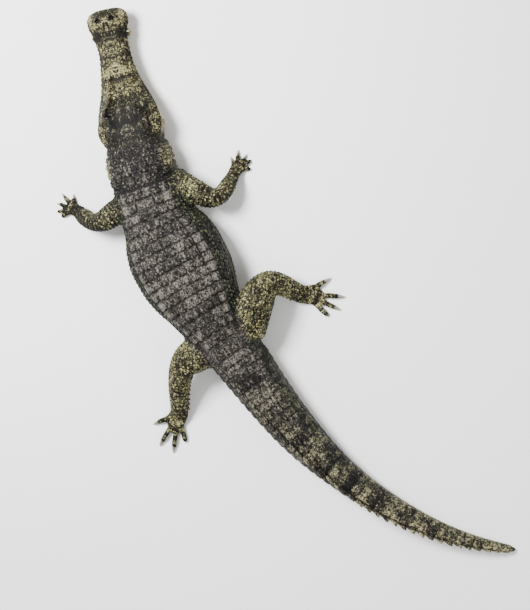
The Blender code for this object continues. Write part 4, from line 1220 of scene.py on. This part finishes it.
for word, edge in (("left", 1), ("right", -1)):
    centre, *ways = eye_frame(edge)
    points = centre + lid @ ways
    # Painted shade darkens the lid next to the eye.
    marks = dict(region_marks(points), lie=lie_on_body(points), relief=0.25 + 0.75 * rim)
    solid_piece(f"eyelids_{word}", points, tube_faces(LID_ROWS + 1, LID_SIDES), marks, u, v, lid_finish,
                mend=True)

# ==================================================================== teeth
# Round, pointed ivory teeth stand in sockets along the jaws and show with the mouth shut. The large
# fourth tooth of the lower jaw rises outside the notch in the upper one.
def cones_piece(name, cones, sides, rows, blunt, finish):
    """One object of curved cones, each given by its foot, tip, radius and bow to one side."""
    turned = np.linspace(0, 2 * np.pi, sides, endpoint=False)
    to_tip, round_it = np.meshgrid(np.linspace(0, 1, rows), np.linspace(0.05, 0.9, sides), indexing="ij")
    points, faces, u, v = [], [], [], []
    for number, (foot, tip, radius, bow) in enumerate(cones):
        way = unit(tip - foot)
        first = unit(np.cross(way, (0.3, 0.9, 0.1)))
        for t in np.linspace(0, 1, rows):
            width = radius * ((1 - t**1.6) * (1 - blunt) + blunt)
            centre = foot + (tip - foot) * t + bow * math.sin(math.pi * t)
            points.append(oval(centre, first, np.cross(way, first), width, width, turned))
        faces += tube_faces(rows, sides, number * rows * sides)
        u.append((number % 8 + 0.05 + 0.9 * to_tip).ravel())
        v.append((number // 8 + round_it).ravel())
    points, u, v = (np.concatenate(values) for values in (points, u, v))
    marks = {"to_tip": np.tile(to_tip.ravel(), len(cones))}
    return solid_piece(name, points, faces, marks, u, v, finish, mend=True)


def horn_material(name, root, middle, tip, rough, scale):
    """Grown in layers, so it is streaked along its length and changes colour towards the tip."""
    made, tree, shader = new_finish(name)
    streaks = noise_at(tree, node(tree, "TexCoord").outputs["Object"], scale, 3.0)
    wander = maths(tree, "MULTIPLY", maths(tree, "SUBTRACT", streaks, 0.5), 0.5)
    at = maths(tree, "ADD", number_at(tree, "to_tip"), wander)
    colour = blend_colours(tree, spread(tree, at, 0.05, 0.45), (*root, 1), (*middle, 1))
    colour = blend_colours(tree, spread(tree, at, 0.55, 0.95), colour, (*tip, 1))
    bumps = node(tree, "Bump", {"Strength": 0.3, "Distance": 0.0006, "Height": streaks})
    feed(tree, shader, {
        "Base Color": colour, "Normal": bumps.outputs[0],
        "Roughness": spread(tree, streaks, 0.3, 0.7, rough + 0.12, rough - 0.08)})
    return made


FOURTH_TOOTH, LOWER_TEETH = (0.158, 0.034), ((0.020, 0.010), (0.066, 0.009), (0.094, 0.010))
cones = []
for s, length in UPPER_TEETH:
    lips = along(LIPS, s)
    out = (along(HEAD_HALF_WIDTH, s) - SKIN_INSET) * snout_close(s, SNOUT_ROUND_PLAN) - 0.0085
    for edge in (-1, 1):
        foot = place(s, edge * out, lips + 0.010)
        tip = place(s + 0.003, edge * (out - 0.001), lips - length)
        bow = place(s, edge * (out + 0.0015), 0) - place(s, edge * out, 0)
        cones.append((foot, tip, 0.0040 + 0.09 * length, bow))
for s, length in (FOURTH_TOOTH, *LOWER_TEETH):
    lips, radius = along(LIPS, s), 0.0042
    out = along(JAW_HALF_WIDTH, s) * snout_close(s, SNOUT_ROUND_PLAN) - 0.003
    if s == FOURTH_TOOTH[0]:
        out, radius = along(HEAD_HALF_WIDTH, s) + 0.0070, 0.0070
    for edge in (-1, 1):
        tip = place(s + 0.004, edge * (out - 0.003), lips + length)
        cones.append((place(s, edge * out, lips - 0.014), tip, radius, np.zeros(3)))
ivory = horn_material("tooth_ivory", (0.30, 0.22, 0.11), (0.54, 0.47, 0.32), (0.64, 0.59, 0.46), 0.30, 240.0)
cones_piece("teeth", cones, 10, 7, 0.06, ivory)

# ==================================================================== claws
# The three inner toes of each foot end in a stout, curved claw of pale horn, darker at its root. It
# grows out of the end of the toe and rests its point just over the ground.
cones = []
for leg in LEGS.values():
    _, forward = palm_rings(leg, leg_turns, 0.0)
    thin, reach = leg["digit"][1], leg["claw"]
    for toe in range(3):
        root, bearing, length = digit_line(leg, toe, forward)
        foot, tip = (root + flat_way(bearing) * (length + past) for past in (-0.007, reach * 0.98))
        foot[2], tip[2] = thin * 0.92, 0.0022
        cones.append((foot, tip, thin * 0.78, np.array([0, 0, reach * 0.16])))
claw_horn = horn_material(
    "claw_horn", (0.060, 0.050, 0.034), (0.230, 0.200, 0.145), (0.560, 0.510, 0.405), 0.46, 160.0)
claws = cones_piece("claws", cones, 14, 12, 0.05, claw_horn)
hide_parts(*[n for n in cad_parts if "claw" in n])

# ==================================================================== floor, light and camera
# The animal lies on a plain white studio floor, under broad soft light from above. The camera looks
# down on it from nearly overhead, through a long lens.
bpy.ops.mesh.primitive_plane_add(size=60, location=(0, 0, 0))
floor = bpy.context.object
floor.name = "floor"
paper, tree, shader = new_finish("studio_paper")
feed(tree, shader, {"Base Color": (0.93, 0.93, 0.93, 1), "Roughness": 0.9})
floor.data.materials.append(paper)

world = bpy.data.worlds.new("studio")
world.use_nodes = True
feed(world.node_tree, world.node_tree.nodes["Background"], {"Color": (1, 1, 1, 1), "Strength": 0.70})
bpy.context.scene.world = world
LAMPS = {"key": ((-3.2, 2.6, 5.7), 1480, 2.4), "fill": ((4.0, -2.5, 5.0), 160, 5.0)}  # place, power, size
LIT_PLACE = (-0.2, 0.1, 0.1)
for name, (at, energy, size) in LAMPS.items():
    lamp = bpy.data.lights.new(name, "AREA")
    lamp.energy, lamp.size = energy, size
    stand = bpy.data.objects.new(name, lamp)
    stand.location = at
    stand.rotation_euler = (Vector(at) - Vector(LIT_PLACE)).to_track_quat("Z", "Y").to_euler()
    bpy.context.scene.collection.objects.link(stand)

AIM, DISTANCE, VIEW_ANGLE = Vector((-0.095, -0.160, 0.10)), 13.216, 16.0
towards = Vector((0.21, 0.119, 0.970)).normalized()
right = Vector((0, 1, 0)).cross(towards).normalized()
turn = Matrix((right, towards.cross(right), towards)).transposed().to_4x4()
lens = bpy.data.cameras.new("camera")
lens.sensor_fit = "VERTICAL"
lens.angle = math.radians(VIEW_ANGLE)
lens.clip_end = 100
camera = bpy.data.objects.new("camera", lens)
camera.matrix_world = Matrix.Translation(AIM + towards * DISTANCE) @ turn
bpy.context.scene.collection.objects.link(camera)
bpy.context.scene.camera = camera
